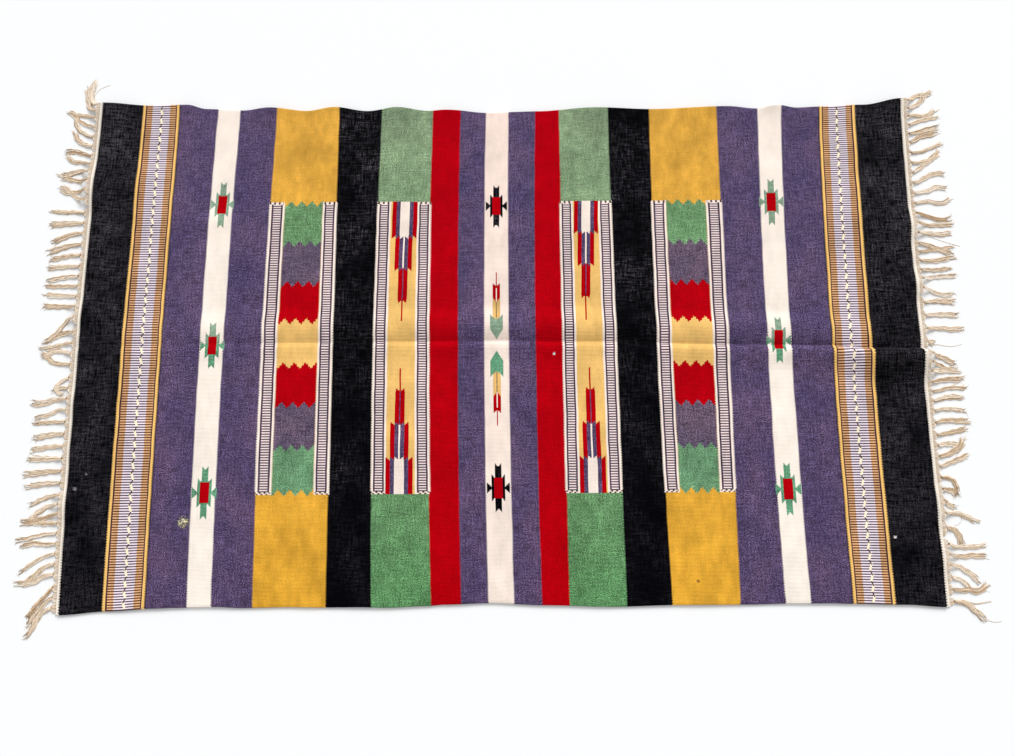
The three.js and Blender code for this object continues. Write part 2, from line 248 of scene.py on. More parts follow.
def makeCloth():
    places = clothRows()
    rowCount = len(places) - 1
    bpy.ops.mesh.primitive_grid_add(
        x_subdivisions=clothSheet["columns"], y_subdivisions=rowCount, size=1
    )
    cloth = bpy.context.object
    cloth.name = cloth.data.name = "serape_cloth"
    unit = cornersOf(cloth)
    along = unit[:, 0] * 2 * lie["halfLength"]
    row = np.rint((unit[:, 1] + 0.5) * rowCount).astype(int)
    line = readTable(foldSections, along, "across", eased=True)
    across = places[row] + line * (1 - np.abs(places[row]) / lie["halfWidth"])
    x = alongAt(along, across)
    y = acrossAt(along, across)
    z = liftAt(along, across) + puckerAt(along, across)
    placeCorners(cloth, np.stack([x, y, z], 1))
    addMap(cloth, "flatPlace", np.stack([along, across], 1) * mm)
    removeMaps(cloth, kept=1)
    applyModifier(cloth, "SOLIDIFY", thickness=clothSheet["thickness"] * mm, offset=1.0)
    applyModifier(
        cloth, "BEVEL", width=clothSheet["edgeRound"] * mm, segments=2,
        limit_method="ANGLE", angle_limit=math.radians(78),
    )
    bpy.ops.object.shade_smooth()
    deselectAll()
    return cloth


clothPiece = makeCloth()
print("cloth sheet:", len(clothPiece.data.polygons), "faces")

# The fringe, from the far corner to the near one, in groups of tassels: the knot of a group's
# first tassel, how many there are, and how far their tips lie aside of it and out from it, for
# those that have no turns of their own.
tasselColumns = ("knot", "tassels", "lean", "reach")
leftTassels = (
    (428, 1, 49, 16), (418, 1, 38, 28), (405, 4, 27, 38), (333, 2, 14, 42),
    (303, 3, 3, 46), (251, 1, 14, 46), (228, 2, 2, 54), (192, 3, -12, 50),
    (134, 3, -3, 49), (82, 2, 6, 55), (46, 1, -18, 34), (20, 3, -9, 46),
    (-34, 1, 6, 40), (-56, 2, -8, 24), (-91, 2, -8, 52), (-129, 4, -3, 50),
    (-208, 2, -5, 53), (-247, 3, -18, 48), (-291, 3, -2, 56), (-338, 2, -16, 49),
    (-370, 1, -20, 54), (-390, 3, -38, 38),
)
rightTassels = (
    (428, 2, 20, 44), (400, 3, 14, 50), (350, 5, 18, 52), (256, 2, 5, 57),
    (219, 3, -5, 56), (166, 2, -11, 55), (136, 3, 3, 52), (87, 1, -8, 47),
    (63, 4, 1, 52), (-27, 2, -13, 37), (-55, 1, -2, 46), (-72, 3, 5, 53),
    (-119, 2, 1, 53), (-159, 4, 14, 46), (-228, 2, -8, 24), (-265, 1, -5, 20),
    (-285, 1, -14, 48), (-308, 1, -14, 26), (-334, 2, -4, 57), (-367, 2, -14, 40),
    (-405, 1, -16, 55), (-423, 1, -28, 50),
)
# Single tassels, counted from the far corner, with turns of their own: how far out from the knot
# and aside of it each turn lies.
leftTurns = {
    0: ((10, 11), (10, 30), (5, 46)), 1: ((11, 5), (14, 24), (17, 46)),
    2: ((15, 4), (31, 5), (44, 11)), 3: ((13, 4.5), (26, 12), (39, 26)),
    4: ((13, 5), (25, 14), (30, 25), (31, 36)), 5: ((15, 4), (26, 12.5), (31, 26)),
    6: ((12, 4.5), (25, 9), (40, 9)), 7: ((13, 3.5), (28, 3.5), (40, 16)),
    8: ((13, 2), (26, -2), (41, -7), (48, -4)), 9: ((13, 0), (28, 3), (43, 7)),
    10: ((15, -2), (30, -4), (41, 1)), 11: ((11, 1), (23, 11), (34, 23), (43, 25)),
    12: ((16, 2), (34, 1), (54, 4)), 22: ((9, -5), (20, -19), (28, -31), (45, -42)),
    23: ((13, -2), (24, -5), (38, -14)), 24: ((12, -2), (30, -7), (47, -10)),
    25: ((14, 4), (25, 5), (44, -4)), 26: ((25, 2), (35, 11), (45, 18)),
    27: ((8, -5), (17, -11), (20, -19), (12.5, -27), (6, -28.5)), 28: ((11, 1), (22, -2.5)),
    29: ((14, -1), (27, -4), (39, -9), (52, -7)), 30: ((9, 2), (25, -7), (45, -12)),
    38: ((18, -3), (33, -13.5), (42, -24)), 39: ((20, -6.5), (38, -12), (54, -12)),
    40: ((18, -0.5), (30, 1), (42, 4)), 41: ((22, -2), (45, -8), (59, -10.5)),
    42: ((13, -1.5), (36, 1.5), (52, -4)), 43: ((16, -4.5), (31, -13), (50, -28)),
    44: ((15, -4.5), (31, -20), (45, -31)), 45: ((13, -1.5), (30, -12), (55, -14.5)),
    46: ((10, -13.5), (22, -25.5), (33, -43)), 47: ((11.5, -10.5), (23.5, -27), (34, -45)),
    48: ((15, -9), (24, -28.5), (34.5, -45)),
}
rightTurns = {
    0: ((11.5, 8), (21, 12.5), (33, 11.5), (43, 18)), 1: ((12, 4.5), (25, 14), (32, 28)),
    2: ((11.5, 2), (26, -1), (38, 4.5), (49, 12.5)), 3: ((15, 7), (31, 11), (48, 15)),
    4: ((13, 2), (28, 7), (49, 11)), 5: ((10, 5.5), (20, 12.5), (31, 13.5), (48, 19.5)),
    6: ((13, 0), (28, 5.5), (52, 16)), 7: ((10, -1), (21, 3), (34, 4.5), (46, 19.5)),
    8: ((8, 5.5), (21, 16), (33, 27), (46, 35)), 9: ((9, 2), (22, 11), (39, 18), (53, 16)),
    10: ((23, 3.5), (39, 11.5), (51, 8)), 11: ((11, 2), (24, 3.5), (42, -2), (60, 6)),
    12: ((11, -2), (22, -6), (40, -11.5), (58, -8)), 13: ((15, -3.5), (34, -3.5), (59, -2)),
    14: ((18, 1), (34, -2), (52, 1)), 15: ((14.5, -2.5), (31, -9.5), (52, -18)),
    16: ((14.5, 2), (31, 4), (55, 8)), 17: ((23, -1), (37, 2), (55, 5)),
    18: ((24, -1), (49, 2)), 19: ((9, 1), (27, 4), (54, 5)),
    20: ((13, -4), (28, -11), (50, -10)), 21: ((14, 2.5), (30, 2), (53, 1)),
    22: ((15, 1), (32, 1), (51, 0)), 23: ((24, 1.5), (37, -1), (58, 0)),
    24: ((4, -1.5), (8, -3)), 25: ((11, 0), (26, -6), (40, -16)),
    26: ((14, -1.5), (24, -9), (36, -15.5)), 27: ((13, 1), (29, 2.5), (47, 1.5)),
    28: ((11, 3), (26, 5.5), (51, 5.5)), 29: ((14, 2.5), (28, 6.5), (52, 5.5)),
    30: ((11.5, 4), (25, 7), (45, 7)), 31: ((14, 3), (29, 2.5), (49, 0)),
    32: ((14.5, 4), (30, 3), (53, 1.5)), 33: ((13, 2.5), (27, 5.5), (47, 10)),
    34: ((11, 3), (23, 2.5), (34, 0)), 35: ((11.5, 2.5), (24, 8.5), (36, 17), (40, 28)),
    36: ((10.5, 4), (24, 9), (44, 17)), 37: ((10, 0), (19, -5), (23, -15), (22.5, -24)),
    38: ((7.5, -1.5), (16.5, -2.5), (21, -10.5)), 39: ((9, -9), (15, -10.5)),
    40: ((11, 1.5), (25, -0.5), (38, -7.5), (50, -14)), 41: ((12, -3), (18, -12), (21, -26)),
    42: ((8, -4.5), (19, -4.5), (34, -4.5), (56, -3)),
    43: ((9, -3), (19, -3.5), (36, -1.5), (54, -3)),
    44: ((12, -2), (22, -8.5), (33, -16), (42, -26)), 45: ((11, -3), (20, -9), (27.5, -20)),
    46: ((14, -2), (25, 0.5), (36, -4.5), (48, 1.5), (56, 8.5)),
    47: ((16, -1.5), (29, -12), (45, -28)),
}
# Single threads that have come loose from a tassel, by its number.
leftThreads = {0: (((6, 18), (-3, 32), (-20, 40)),)}
rightThreads = {
    14: (((22, -7), (42, -15), (68, -23)),),
    24: (((6, -2.5), (18, -5), (34, -8), (46, -7), (55, -4)),),
    29: (((14, 2.5), (28, 8.5), (44, 14)),), 36: (((25, 12), (33, 27), (41, 38)),),
    40: (((24, -3), (26, -11), (20, -18), (13, -20)),), 43: (((20, -4), (45, -3), (62, -8)),),
    47: (((16, -2), (35, -17), (50, -31), (60, -33), (70, -31)),
         ((16, 2), (31, -4), (57, 0)), ((16, 1), (31, -6), (57, -1.5)),
         ((16, 0), (31, -5), (54, -2))),
}
warpFringe = {
    "seed": 11,
    "lastKnot": -436,  # where one more tassel would be knotted
    "partingGap": 0.3,
    "headingWidth": 9.5,
    "creamWidth": 3.4,  # the last wefts, beaten up to the black, before the warps are bare
    "creamThickness": 2.2,
    "warpPitch": 864 / 408,
    "warpRadius": 0.86,
    "gather": 5.0,  # how late the bare warps turn towards their knot
    "knotLength": 3.8,
    "knotWidth": 4.0,
    "knotHeight": 3.2,
    "unevenReach": 4,  # how much the tassels of a group differ
    "unevenLean": 5,
    "smoothing": 30,
    "yarns": 8,  # in each tassel
    "yarnRadius": 0.8,
    "yarnSteps": 13,
    "knotSpread": 3.0,
    "tipSpread": (6.6, 11.0),  # from the narrowest tassel to the widest
    "fanBend": 0.6,
    "crimp": 0.6,
    "crimpTurns": 3.2,
    "landing": 0.3,  # the share of its length by which a yarn is down on the floor
    "layers": (0, 0.9, 0.5),  # how far over the others a yarn starts
    "threadRadius": 0.28,
    "wisps": 2,  # loose fibres at each yarn's end
    "wispRadius": 0.2,
    "wispLength": 9,
}


# A rod of unit radius and length, with its sides cut into steps, to be copied for each yarn.
def makeRod(name, sides, steps):
    bpy.ops.mesh.primitive_cylinder_add(vertices=sides, radius=1, depth=1, end_fill_type="NGON")
    rod = bpy.context.object
    rod.name = name
    corners = rod.data.vertices
    for part in (rod.data.vertices, rod.data.edges, rod.data.polygons):
        part.foreach_set("select", [False] * len(part))
    for edge in rod.data.edges:
        ends = [corners[i].co.z for i in edge.vertices]
        edge.select = abs(ends[0] - ends[1]) > 0.5
    bpy.context.tool_settings.mesh_select_mode = (False, True, False)
    bpy.ops.object.mode_set(mode="EDIT")
    bpy.ops.mesh.subdivide(number_cuts=steps - 1)
    bpy.ops.object.mode_set(mode="OBJECT")
    bpy.ops.object.shade_smooth()
    removeMaps(rod)
    deselectAll()
    return rod


# Each corner of a piece of yarn is as light as its tone says, from nought to one.
def addTone(piece, tone):
    layer = piece.data.attributes.new("yarnTone", "FLOAT", "POINT")
    layer.data.foreach_set("value", np.full(len(piece.data.vertices), tone, np.float32))


# A copy of a rod laid along a line of places, with a radius for each, as a yarn lies.
def layRod(rod, line, radii, tone):
    unit = cornersOf(rod)
    share = unit[:, 2] + 0.5
    steps = np.linspace(0, 1, len(line))
    centre = np.stack([np.interp(share, steps, line[:, axis]) for axis in range(3)], 1)
    slope = np.gradient(line, axis=0)
    aside = np.stack([-slope[:, 1], slope[:, 0]], 1)
    aside /= np.maximum(np.hypot(aside[:, 0], aside[:, 1]), 1e-6)[:, None]
    radius = np.interp(share, steps, radii)
    places = centre.copy()
    places[:, 0] += np.interp(share, steps, aside[:, 0]) * unit[:, 0] * radius
    places[:, 1] += np.interp(share, steps, aside[:, 1]) * unit[:, 0] * radius
    places[:, 2] += unit[:, 1] * radius
    yarn = rod.copy()
    yarn.data = rod.data.copy()
    bpy.context.collection.objects.link(yarn)
    placeCorners(yarn, places)
    length = np.linalg.norm(np.diff(line, axis=0), axis=1).sum()
    around = np.arctan2(unit[:, 1], unit[:, 0]) / (2 * math.pi) + 0.5
    addMap(yarn, "yarnPlace", np.stack([around * 3.0, share * length], 1) * mm)
    addTone(yarn, tone)
    return yarn


# A smooth line from a tassel's knot through its turns, and on past its end by a sixth.
def smoothWay(turns):
    turns = np.array(((0, 0), *turns), float)
    gone = np.append(0, np.cumsum(np.linalg.norm(np.diff(turns, axis=0), axis=1)))
    share = np.linspace(0, 1, 61)
    line = np.stack([np.interp(share * gone[-1], gone, turns[:, axis]) for axis in range(2)], 1)
    for _ in range(warpFringe["smoothing"]):
        line[1:-1] = (line[:-2] + 2 * line[1:-1] + line[2:]) / 4
    beyond = line[-1] + 2 * (line[-1] - line[-6])
    return np.append(share, 7 / 6), np.vstack([line, beyond])


# Where each tassel of one end is knotted and how it lies, from the groups' table and its turns.
def tasselRoutes(side, groups, turns, threads, rng):
    rows = [dict(zip(tasselColumns, group)) for group in groups]
    after = [row["knot"] for row in rows[1:]] + [warpFringe["lastKnot"]]
    end = np.float64(side * lie["halfLength"])
    routes = []
    for row, nextKnot in zip(rows, after):
        pitch = (row["knot"] - nextKnot) / row["tassels"]
        for i in range(row["tassels"]):
            across = np.float64(row["knot"] - pitch * i)
            out = row["reach"] + warpFringe["unevenReach"] * rng.uniform(-1, 1)
            lean = row["lean"] + warpFringe["unevenLean"] * rng.uniform(-1, 1)
            plainTurns = ((0.35 * out, 0.12 * lean), (0.7 * out, 0.55 * lean), (out, lean))
            heading = warpFringe["partingGap"] + warpFringe["headingWidth"]
            routes.append({
                "across": float(across),
                "pitch": pitch,
                "knotX": float(alongAt(end, across)) + side * heading,
                "knotY": float(acrossAt(end, across)),
                "lift": float(liftAt(end, across)),
                "way": smoothWay(turns.get(len(routes), plainTurns)),
                "threads": [smoothWay(way) for way in threads.get(len(routes), ())],
            })
    return routes


# The cream last wefts of one end: a ribbed band with a tooth for each warp.
def makeCream(side):
    ribs = int(round(2 * lie["halfWidth"] / warpFringe["warpPitch"])) * 2
    bpy.ops.mesh.primitive_grid_add(x_subdivisions=3, y_subdivisions=ribs, size=1)
    band = bpy.context.object
    unit = cornersOf(band)
    across = unit[:, 1] * 2 * lie["halfWidth"]
    end = np.full_like(across, side * lie["halfLength"])
    out = (unit[:, 0] + 0.5) if side > 0 else (0.5 - unit[:, 0])
    rib = np.cos(across / warpFringe["warpPitch"] * 2 * math.pi)
    x = alongAt(end, across) + side * (warpFringe["partingGap"] + out * warpFringe["creamWidth"])
    x += side * np.where(out > 0.9, 0.35, 0) * rib
    y = acrossAt(end, across)
    z = liftAt(end, across) + 0.25 * (1 + rib)
    placeCorners(band, np.stack([x, y, z], 1))
    removeMaps(band)
    addMap(band, "yarnPlace", np.stack([out * 4, across], 1) * mm)
    addTone(band, 1.0)
    applyModifier(band, "SOLIDIFY", thickness=warpFringe["creamThickness"] * 0.8 * mm, offset=1.0)
    bpy.ops.object.shade_smooth()
    return band


# The bare warps of one tassel, drawn together from the cream wefts into its knot.
def bareWarps(route, side, rod, rng):
    count = max(int(round(route["pitch"] / warpFringe["warpPitch"])), 4)
    t = np.linspace(0, 1, 5)
    end = np.float64(side * lie["halfLength"])
    pieces = []
    for i in range(count):
        across = route["across"] + (i + 0.5 - count / 2) * route["pitch"] / count
        across = np.float64(max(min(across, lie["halfWidth"] - 0.5), 0.5 - lie["halfWidth"]))
        creamEdge = warpFringe["partingGap"] + warpFringe["creamWidth"] - 0.8
        startX = float(alongAt(end, across)) + side * creamEdge
        startY = float(acrossAt(end, across))
        startZ = float(liftAt(end, across)) + 1.1
        stopX = route["knotX"] + side * 1.0
        stopY = route["knotY"] + (i + 0.5 - count / 2) / count * warpFringe["knotWidth"] * 0.8
        line = np.stack([
            startX + (stopX - startX) * t,
            startY + (stopY - startY) * t ** warpFringe["gather"],
            startZ + (route["lift"] + 1.5 - startZ) * t + 0.3 * rng.random(),
        ], 1)
        radii = np.full(5, warpFringe["warpRadius"] * rng.uniform(0.9, 1.05))
        pieces.append(layRod(rod, line, radii, rng.uniform(0.6, 0.95)))
    return pieces


# The knot that gathers them: a rounded lump with its wrap, painted darker than its own yarn as
# painted shade.
def tieKnot(route, side, ball, rng):
    unit = cornersOf(ball)
    long, wide, high = (warpFringe[key] / 2 for key in ("knotLength", "knotWidth", "knotHeight"))
    size = rng.uniform(0.85, 1.1)
    wrap = 1 + 0.16 * np.cos(unit[:, 0] * 7 + unit[:, 1] * 2.5 + rng.uniform(-1, 1))
    places = np.stack([
        route["knotX"] + side * (long - 0.8) + unit[:, 0] * long * size,
        route["knotY"] + unit[:, 1] * wide * size * wrap,
        route["lift"] * 0.96 + high + 0.1 + unit[:, 2] * high * np.minimum(wrap, 1.02),
    ], 1)
    knot = ball.copy()
    knot.data = ball.data.copy()
    bpy.context.collection.objects.link(knot)
    placeCorners(knot, places)
    addMap(knot, "yarnPlace", np.stack([unit[:, 0] * 3, unit[:, 1] * 5 + unit[:, 2] * 4], 1) * mm)
    # A low tone: the knot's dark brown is painted shade in its wraps and under it, since the yarn
    # itself is the same as the tassel's.
    addTone(knot, rng.uniform(0.0, 0.35))
    return knot


# A yarn's line from its knot down to the floor: how far off the tassel's middle it runs, and how
# high its own middle lies when it is down.
def hangLine(route, side, way, gone, off, low):
    share, places = way
    middle = np.stack([np.interp(gone, share, places[:, axis]) for axis in range(2)], 1)
    slope = np.gradient(middle, axis=0)
    slope /= np.linalg.norm(slope, axis=1)[:, None]
    out = middle[:, 0] - slope[:, 1] * off + warpFringe["knotLength"] / 2
    aside = middle[:, 1] + slope[:, 0] * off
    fall = np.clip(1 - gone / warpFringe["landing"], 0, 1)
    z = (route["lift"] + 1) * fall * fall * (3 - 2 * fall) + low
    return np.stack([route["knotX"] + side * out, route["knotY"] + aside, z], 1)


# The yarns of one tassel past its knot, fanned out and lying on the floor, with what has frayed.
def hangYarns(route, side, rods, rng):
    rod, wispRod = rods
    t = np.linspace(0, 1, warpFringe["yarnSteps"] + 1)
    count = warpFringe["yarns"]
    radius = warpFringe["yarnRadius"]
    fan = rng.uniform(*warpFringe["tipSpread"])
    order = list(range(count))
    rng.shuffle(order)
    pieces = []
    for i in range(count):
        apart = (i + 0.5) / count - 0.5
        tip = (apart + rng.uniform(-0.06, 0.06)) * fan * rng.uniform(0.8, 1.25)
        turn = rng.uniform(0, 2 * math.pi)
        crimp = warpFringe["crimp"] * np.sin(t * warpFringe["crimpTurns"] * 2 * math.pi + turn)
        off = apart * warpFringe["knotSpread"] * (1 - t) + tip * t ** warpFringe["fanBend"]
        off += crimp * np.minimum(4 * t, 1)
        low = radius * (1 + warpFringe["layers"][order[i] % 3] * (1 - t))
        line = hangLine(route, side, route["way"], t * rng.uniform(0.84, 1.08), off, low)
        radii = radius * (1 + 0.12 * np.sin(t * 14 + turn)) * np.interp(t, (0, 0.9, 1), (1, 1, 0.7))
        tone = rng.uniform(0.15, 1.0)
        pieces.append(layRod(rod, line, radii, tone))
        heading = line[-1] - line[-3]
        heading /= np.hypot(heading[0], heading[1])
        for _ in range(warpFringe["wisps"]):
            reach = warpFringe["wispLength"] * rng.uniform(0.35, 1.0) * np.linspace(0, 1, 5)
            bow = rng.uniform(-0.7, 0.7) * reach * np.linspace(0, 1, 5)
            wispLine = np.stack([
                line[-2, 0] + heading[0] * reach - heading[1] * bow,
                line[-2, 1] + heading[1] * reach + heading[0] * bow,
                np.full(5, line[-2, 2] * 0.6 + 0.1),
            ], 1)
            thin = warpFringe["wispRadius"] * np.array([1.6, 1.2, 1, 0.8, 0.5])
            pieces.append(layRod(wispRod, wispLine, thin, min(tone + 0.2, 1)))
    for way in route["threads"]:
        thin = np.full(len(t), warpFringe["threadRadius"])
        line = hangLine(route, side, way, t, 0 * t, warpFringe["threadRadius"])
        pieces.append(layRod(rod, line, thin, rng.uniform(0.3, 0.7)))
    return pieces


def makeFringe(name, side, groups, turns, threads):
    rng = random.Random(warpFringe["seed"] + side)
    rods = (makeRod("yarnRod", 5, warpFringe["yarnSteps"]), makeRod("wispRod", 3, 4))
    shortRod = makeRod("shortRod", 4, 4)
    bpy.ops.mesh.primitive_uv_sphere_add(segments=8, ring_count=6, radius=1)
    ball = bpy.context.object
    bpy.ops.object.shade_smooth()
    removeMaps(ball)
    pieces = [makeCream(side)]
    for route in tasselRoutes(side, groups, turns, threads, rng):
        pieces += bareWarps(route, side, shortRod, rng)
        pieces.append(tieKnot(route, side, ball, rng))
        pieces += hangYarns(route, side, rods, rng)
    deselectAll()
    for piece in pieces:
        piece.select_set(True)
    bpy.context.view_layer.objects.active = pieces[0]
    bpy.ops.object.join()
    fringe = bpy.context.object
    fringe.name = fringe.data.name = name
    deselectAll()
    for spare in (*rods, shortRod, ball):
        bpy.data.objects.remove(spare)
    print(name, len(fringe.data.polygons), "faces")
    return fringe


leftPiece = makeFringe("left_tassels", -1, leftTassels, leftTurns, leftThreads)
rightPiece = makeFringe("right_tassels", 1, rightTassels, rightTurns, rightThreads)


# An sRGB hex colour as linear red, green, blue and one.
def linear(hexColour):
    parts = [int(hexColour[i:i + 2], 16) / 255 for i in (1, 3, 5)]
    straight = [p / 12.92 if p <= 0.04045 else ((p + 0.055) / 1.055) ** 2.4 for p in parts]
    return (*straight, 1.0)


# Adds a node with its settings, its inputs' values or links, and a ramp's stops.
def addNode(tree, kind, settings=None, inputs=None, stops=None):
    node = tree.nodes.new(kind)
    for key, value in (settings or {}).items():
        setattr(node, key, value)
    for key, value in (inputs or {}).items():
        if isinstance(value, bpy.types.NodeSocket):
            tree.links.new(value, node.inputs[key])
        else:
            node.inputs[key].default_value = value
    if stops:
        ramp = node.color_ramp
        ramp.interpolation = stops["steps"]
        while len(ramp.elements) < len(stops["places"]):
            ramp.elements.new(1.0)
        for element, (place, colour) in zip(ramp.elements, stops["places"]):
            element.position = place
            element.color = colour
    return node


# Adds a node of one kind for each row of a list: its name, its operation, and its parts, which are
# numbers or the names of earlier ones.
def addRows(tree, kind, values, rows):
    for name, operation, *parts in rows:
        inputs = {i: values.get(part, part) for i, part in enumerate(parts)}
        values[name] = addNode(tree, kind, {"operation": operation}, inputs).outputs[0]


def emptyMaterial(name):
    material = bpy.data.materials.new(name)
    material.use_nodes = True
    material.node_tree.nodes.clear()
    return material


mathNode = "ShaderNodeMath"
mixOver = {"data_type": "RGBA"}
mixTimes = {"data_type": "RGBA", "blend_type": "MULTIPLY"}

dyes = {  # each as it is at the near hem and at the far one, where it has faded
    "cream": ("#f2e2d6", "#f2dcd0"),
    "sideCream": ("#f6ebdf", "#f6e8dc"),
    "purple": ("#554666", "#564969"),
    "blockPurple": ("#5f5166", "#5f5166"),
    "red": ("#ad000c", "#ae0010"),
    "green": ("#598859", "#849878"),
    "black": ("#06060a", "#060609"),
    "yellow": ("#d8a034", "#d9a344"),
    "paleYellow": ("#e8bb6f", "#e8bb6f"),
    "panelGreen": ("#6a9672", "#668a5e"),
    "ladderPurple": ("#4b3a4c", "#4b3a4c"),
    "rungLight": ("#f3e6ee", "#f3e6ee"),
    "panelRung": ("#eedcd8", "#eedcd8"),
    "rungTan": ("#deae82", "#deae82"),
    "rungBrown": ("#5a3212", "#5a3212"),
    "bandYellow": ("#efbf70", "#efbf70"),
    "bandCream": ("#fbedce", "#fbedce"),
    "bandDark": ("#4a3038", "#4a3038"),
    "bandDash": ("#42282a", "#42282a"),
    "crossGreen": ("#5f9474", "#869f88"),
    "arrowYellow": ("#dbb06c", "#dbb06c"),
    "shaftLine": ("#86704f", "#86704f"),
    "nickOlive": ("#857c58", "#857c58"),
    "nickLight": ("#e6dfb4", "#e6dfb4"),
    "whiteSpeck": ("#d8cfd0", "#d8cfd0"),
    "brownMark": ("#8a6030", "#8a6030"),
    "scuff": ("#6f6a70", "#6f6a70"),
    "dust": ("#a29ba6", "#a29ba6"),
}

# The woven design, in millimetres of the flat cloth, the same in all four quarters.
design = {
    "warpPair": 2 * 864 / 408,  # a dark and a light rung of the ladders
    "middle": -2.0,  # where the middle of the design lies across the cloth
    "teeth": 0.7,  # how far a stripe's edge steps in and out at each warp
    "wander": 0.8,
    "panelEnd": 248.4,
    "endCream": 2.1,  # how wide the first cream wefts are on the cloth itself
    "weftWave": 1.6,
    "lightFrom": 0.48,  # where in a pair of warps the light rung starts
}
# A ramp holds 256 places, so a stripe's edge shows up to 2.7 mm further out than its number.
stripes = (  # from the middle of the cloth to its end: where a colour stops
    ("cream", 20), ("purple", 63), ("red", 108), ("green", 197), ("black", 264),
    ("yellow", 380), ("purple", 444), ("sideCream", 482), ("purple", 547.4), ("black", 687),
)
bands = {  # the two that hold panels, with their ladders: the outer side is a little wider
    "Green": {"middle": 152.5, "inner": 44.5, "outer": 46.9, "ladder": 23.5, "outerLadder": 23.5},
    "Yellow": {"middle": 322.0, "inner": 58.0, "outer": 60.6, "ladder": 25.2, "outerLadder": 27.0},
}
endStitches = {"depth": 5.5, "turn": 8.0, "slant": 0.8, "dark": 0.4, "stopAt": 0.92}
endBand = {  # the rungs' band near each end: where it starts, how wide it is, and its own stripes
    "start": 549.3, "width": 62.3,
    "stripes": (("bandYellow", 3.9), ("bandDark", 5.6), ("rungTan", 15.7), ("rungLight", 46.1),
                ("rungTan", 55.6), ("bandDark", 58), ("bandYellow", 62.3)),
}
ladder = (  # from a band's edge to its panel, as shares of the ladder's width
    ("cream", 0.155), ("ladderPurple", 0.265), ("panelRung", 0.75), ("ladderPurple", 0.855),
    ("cream", 1.0), ("paleYellow", 2.0),
)
bandLine = {  # the zigzag in the middle of the end bands: a long cream leg and a short dark one
    "middle": 580.2, "turn": 17.2, "lean": -3.0, "legEnd": 0.62, "legOver": 0.06,
    "creamHalf": 1.8, "darkHalf": 1.0,
}
zigzag = {"start": 290.0, "halfTurn": 9.15, "height": 10.5}  # between the blocks
blocks = (  # the yellow band's panel, from its middle: where a colour stops
    ("paleYellow", 35.2), ("red", 101.8), ("blockPurple", 171.8), ("panelGreen", 244.2),
    ("yellow", 300),
)
figure = {"middle": -5.6, "step": 7.1, "fork": 5.6, "columns": ("from", "red", "purple", "white"),
          "rows": ((0, 0, 0, 0), (37, 1.2, 0, 0), (74.2, 7.8, 0.8, 0), (129.5, 14.4, 7.5, 1.3),
                   (186.5, 21.1, 14.2, 7.8)),
          "leftLean": (-0.008, 1.6), "farRightLean": (0.03, -5.0),  # a slope, and how far aside
          "thinLine": 55.0, "farRightSteps": 6.8}  # how much further out these are, past the line
crosses = {
    "outline": (  # half height at places out from its middle line
        (0, 35), (5.0, 40.5), (5.1, 17.5), (7.0, 17.5), (7.1, 18), (11.3, 22.5),
        (11.4, 1.8), (19.6, 9), (19.7, 0),
    ),
    "sideFrom": 231.0, "sideMiddle": 463.0,  # the side stripes, along the cloth
    "outerPlace": 239.0, "sideFurther": 5.0,  # the outer crosses, across it
    "foldPlace": (-3.4, 2.4),  # the fold's are further on at the right end
    "scale": 1.05, "outerScale": (-0.07, -0.05),
    "heartWidth": 6.8, "outerWidth": (0.3, 0.2),
    "heartHeight": (2.0, 14.4), "outerHeight": (-2.0, 2.4),
}
arrow = {  # shares of its length where green, yellow and red stop, at places out from its shaft
    "shaft": 0.2, "tip": (4, 115), "mirroredTip": (-15.6, 125), "tipSlope": 0.0114,
    "lineHalf": 0.95, "lineFrom": 0.29, "whiteTo": 0.76,  # the thin line down its middle
    "rows": ((0, 0.28, 0.545, 0.79), (6.9, 0.31, 0.615, 0.828), (7.0, 0.312, 0, 0),
             (11.8, 0.356, 0, 0), (11.9, 0, 0, 0)),
}
marks = (  # small worn and stained places: where, how far they reach, and how gappy they are
    ("nickOlive", -494, -294, 7.8, 0.44), ("nickLight", -495, -293, 7.8, 0.54),
    ("whiteSpeck", 95, -21, 2.2, 0), ("whiteSpeck", 621, -324, 2.0, 0),
    ("brownMark", 312, -394, 2.4, 0), ("scuff", -672, -238, 3.0, 0), ("scuff", -655, -214, 1.8, 0),
)


wool = {  # pairs are a slope and a start
    "driftScale": 22.0,
    "leastTone": 0.1,
    "purpleOver": 1.25,  # how much bluer than green a purple is
    "hueTurn": (2.4, -0.6),
    "bluer": (0.92, 0.98, 1.02, 1),
    "redder": (1.1, 1.04, 0.97, 1),
    "blackUnder": 0.004,
    "dustFrom": 600.0,  # where the dustier ends start
    "midDust": (0.012, 0.002),
    "endDust": (0.01, 0.02),
    "slowDust": (2.4, -0.2),
    "streakDust": (3.2, -2.2),
    "fineDust": (6.0, -2.0),
    "tuftScale": 330.0,
    "weftHeight": 0.25,
    "beads": {"Strength": 0.5, "Distance": 0.0005},
    "roughness": (0.12, 0.84),
    "shine": 0.02,
}
warp = {
    "plyLength": 3.4 * mm,
    "plyWidth": 1.5 * mm,
    # how dark the painted shade between the plies goes, as a slope and a start
    "plyTone": (0.16, 0.84),
    "patchScale": 160.0,
    "patchTone": (0.3, 0.87),
    "plies": {"Strength": 0.6, "Distance": 0.0003},
    "roughness": 0.85,
    "shine": 0.1,
    # The darkest stop is for the knots, whose dark brown is painted shade.
    "tones": ((0.0, "#7d5c3e"), (0.12, "#b3906c"), (0.45, "#dfc8ab"), (0.8, "#f1dfca"),
              (1.0, "#f9f0e2")),
}


def colourStops(table, reach, hem):
    starts = [0] + [stop / reach for _, stop in table[:-1]]
    return {"steps": "CONSTANT", "places": [
        (start, linear(dyes[dye][hem])) for start, (dye, _) in zip(starts, table)
    ]}


# One where a table's colour is of one of some kinds of rungs.
def rungStops(table, reach, kinds=("rungLight", "rungTan", "panelRung")):
    starts = [0] + [stop / reach for _, stop in table[:-1]]
    return {"steps": "CONSTANT", "places": [
        (start, (1, 1, 1, 1) if dye in kinds else (0, 0, 0, 1))
        for start, (dye, _) in zip(starts, table)
    ]}


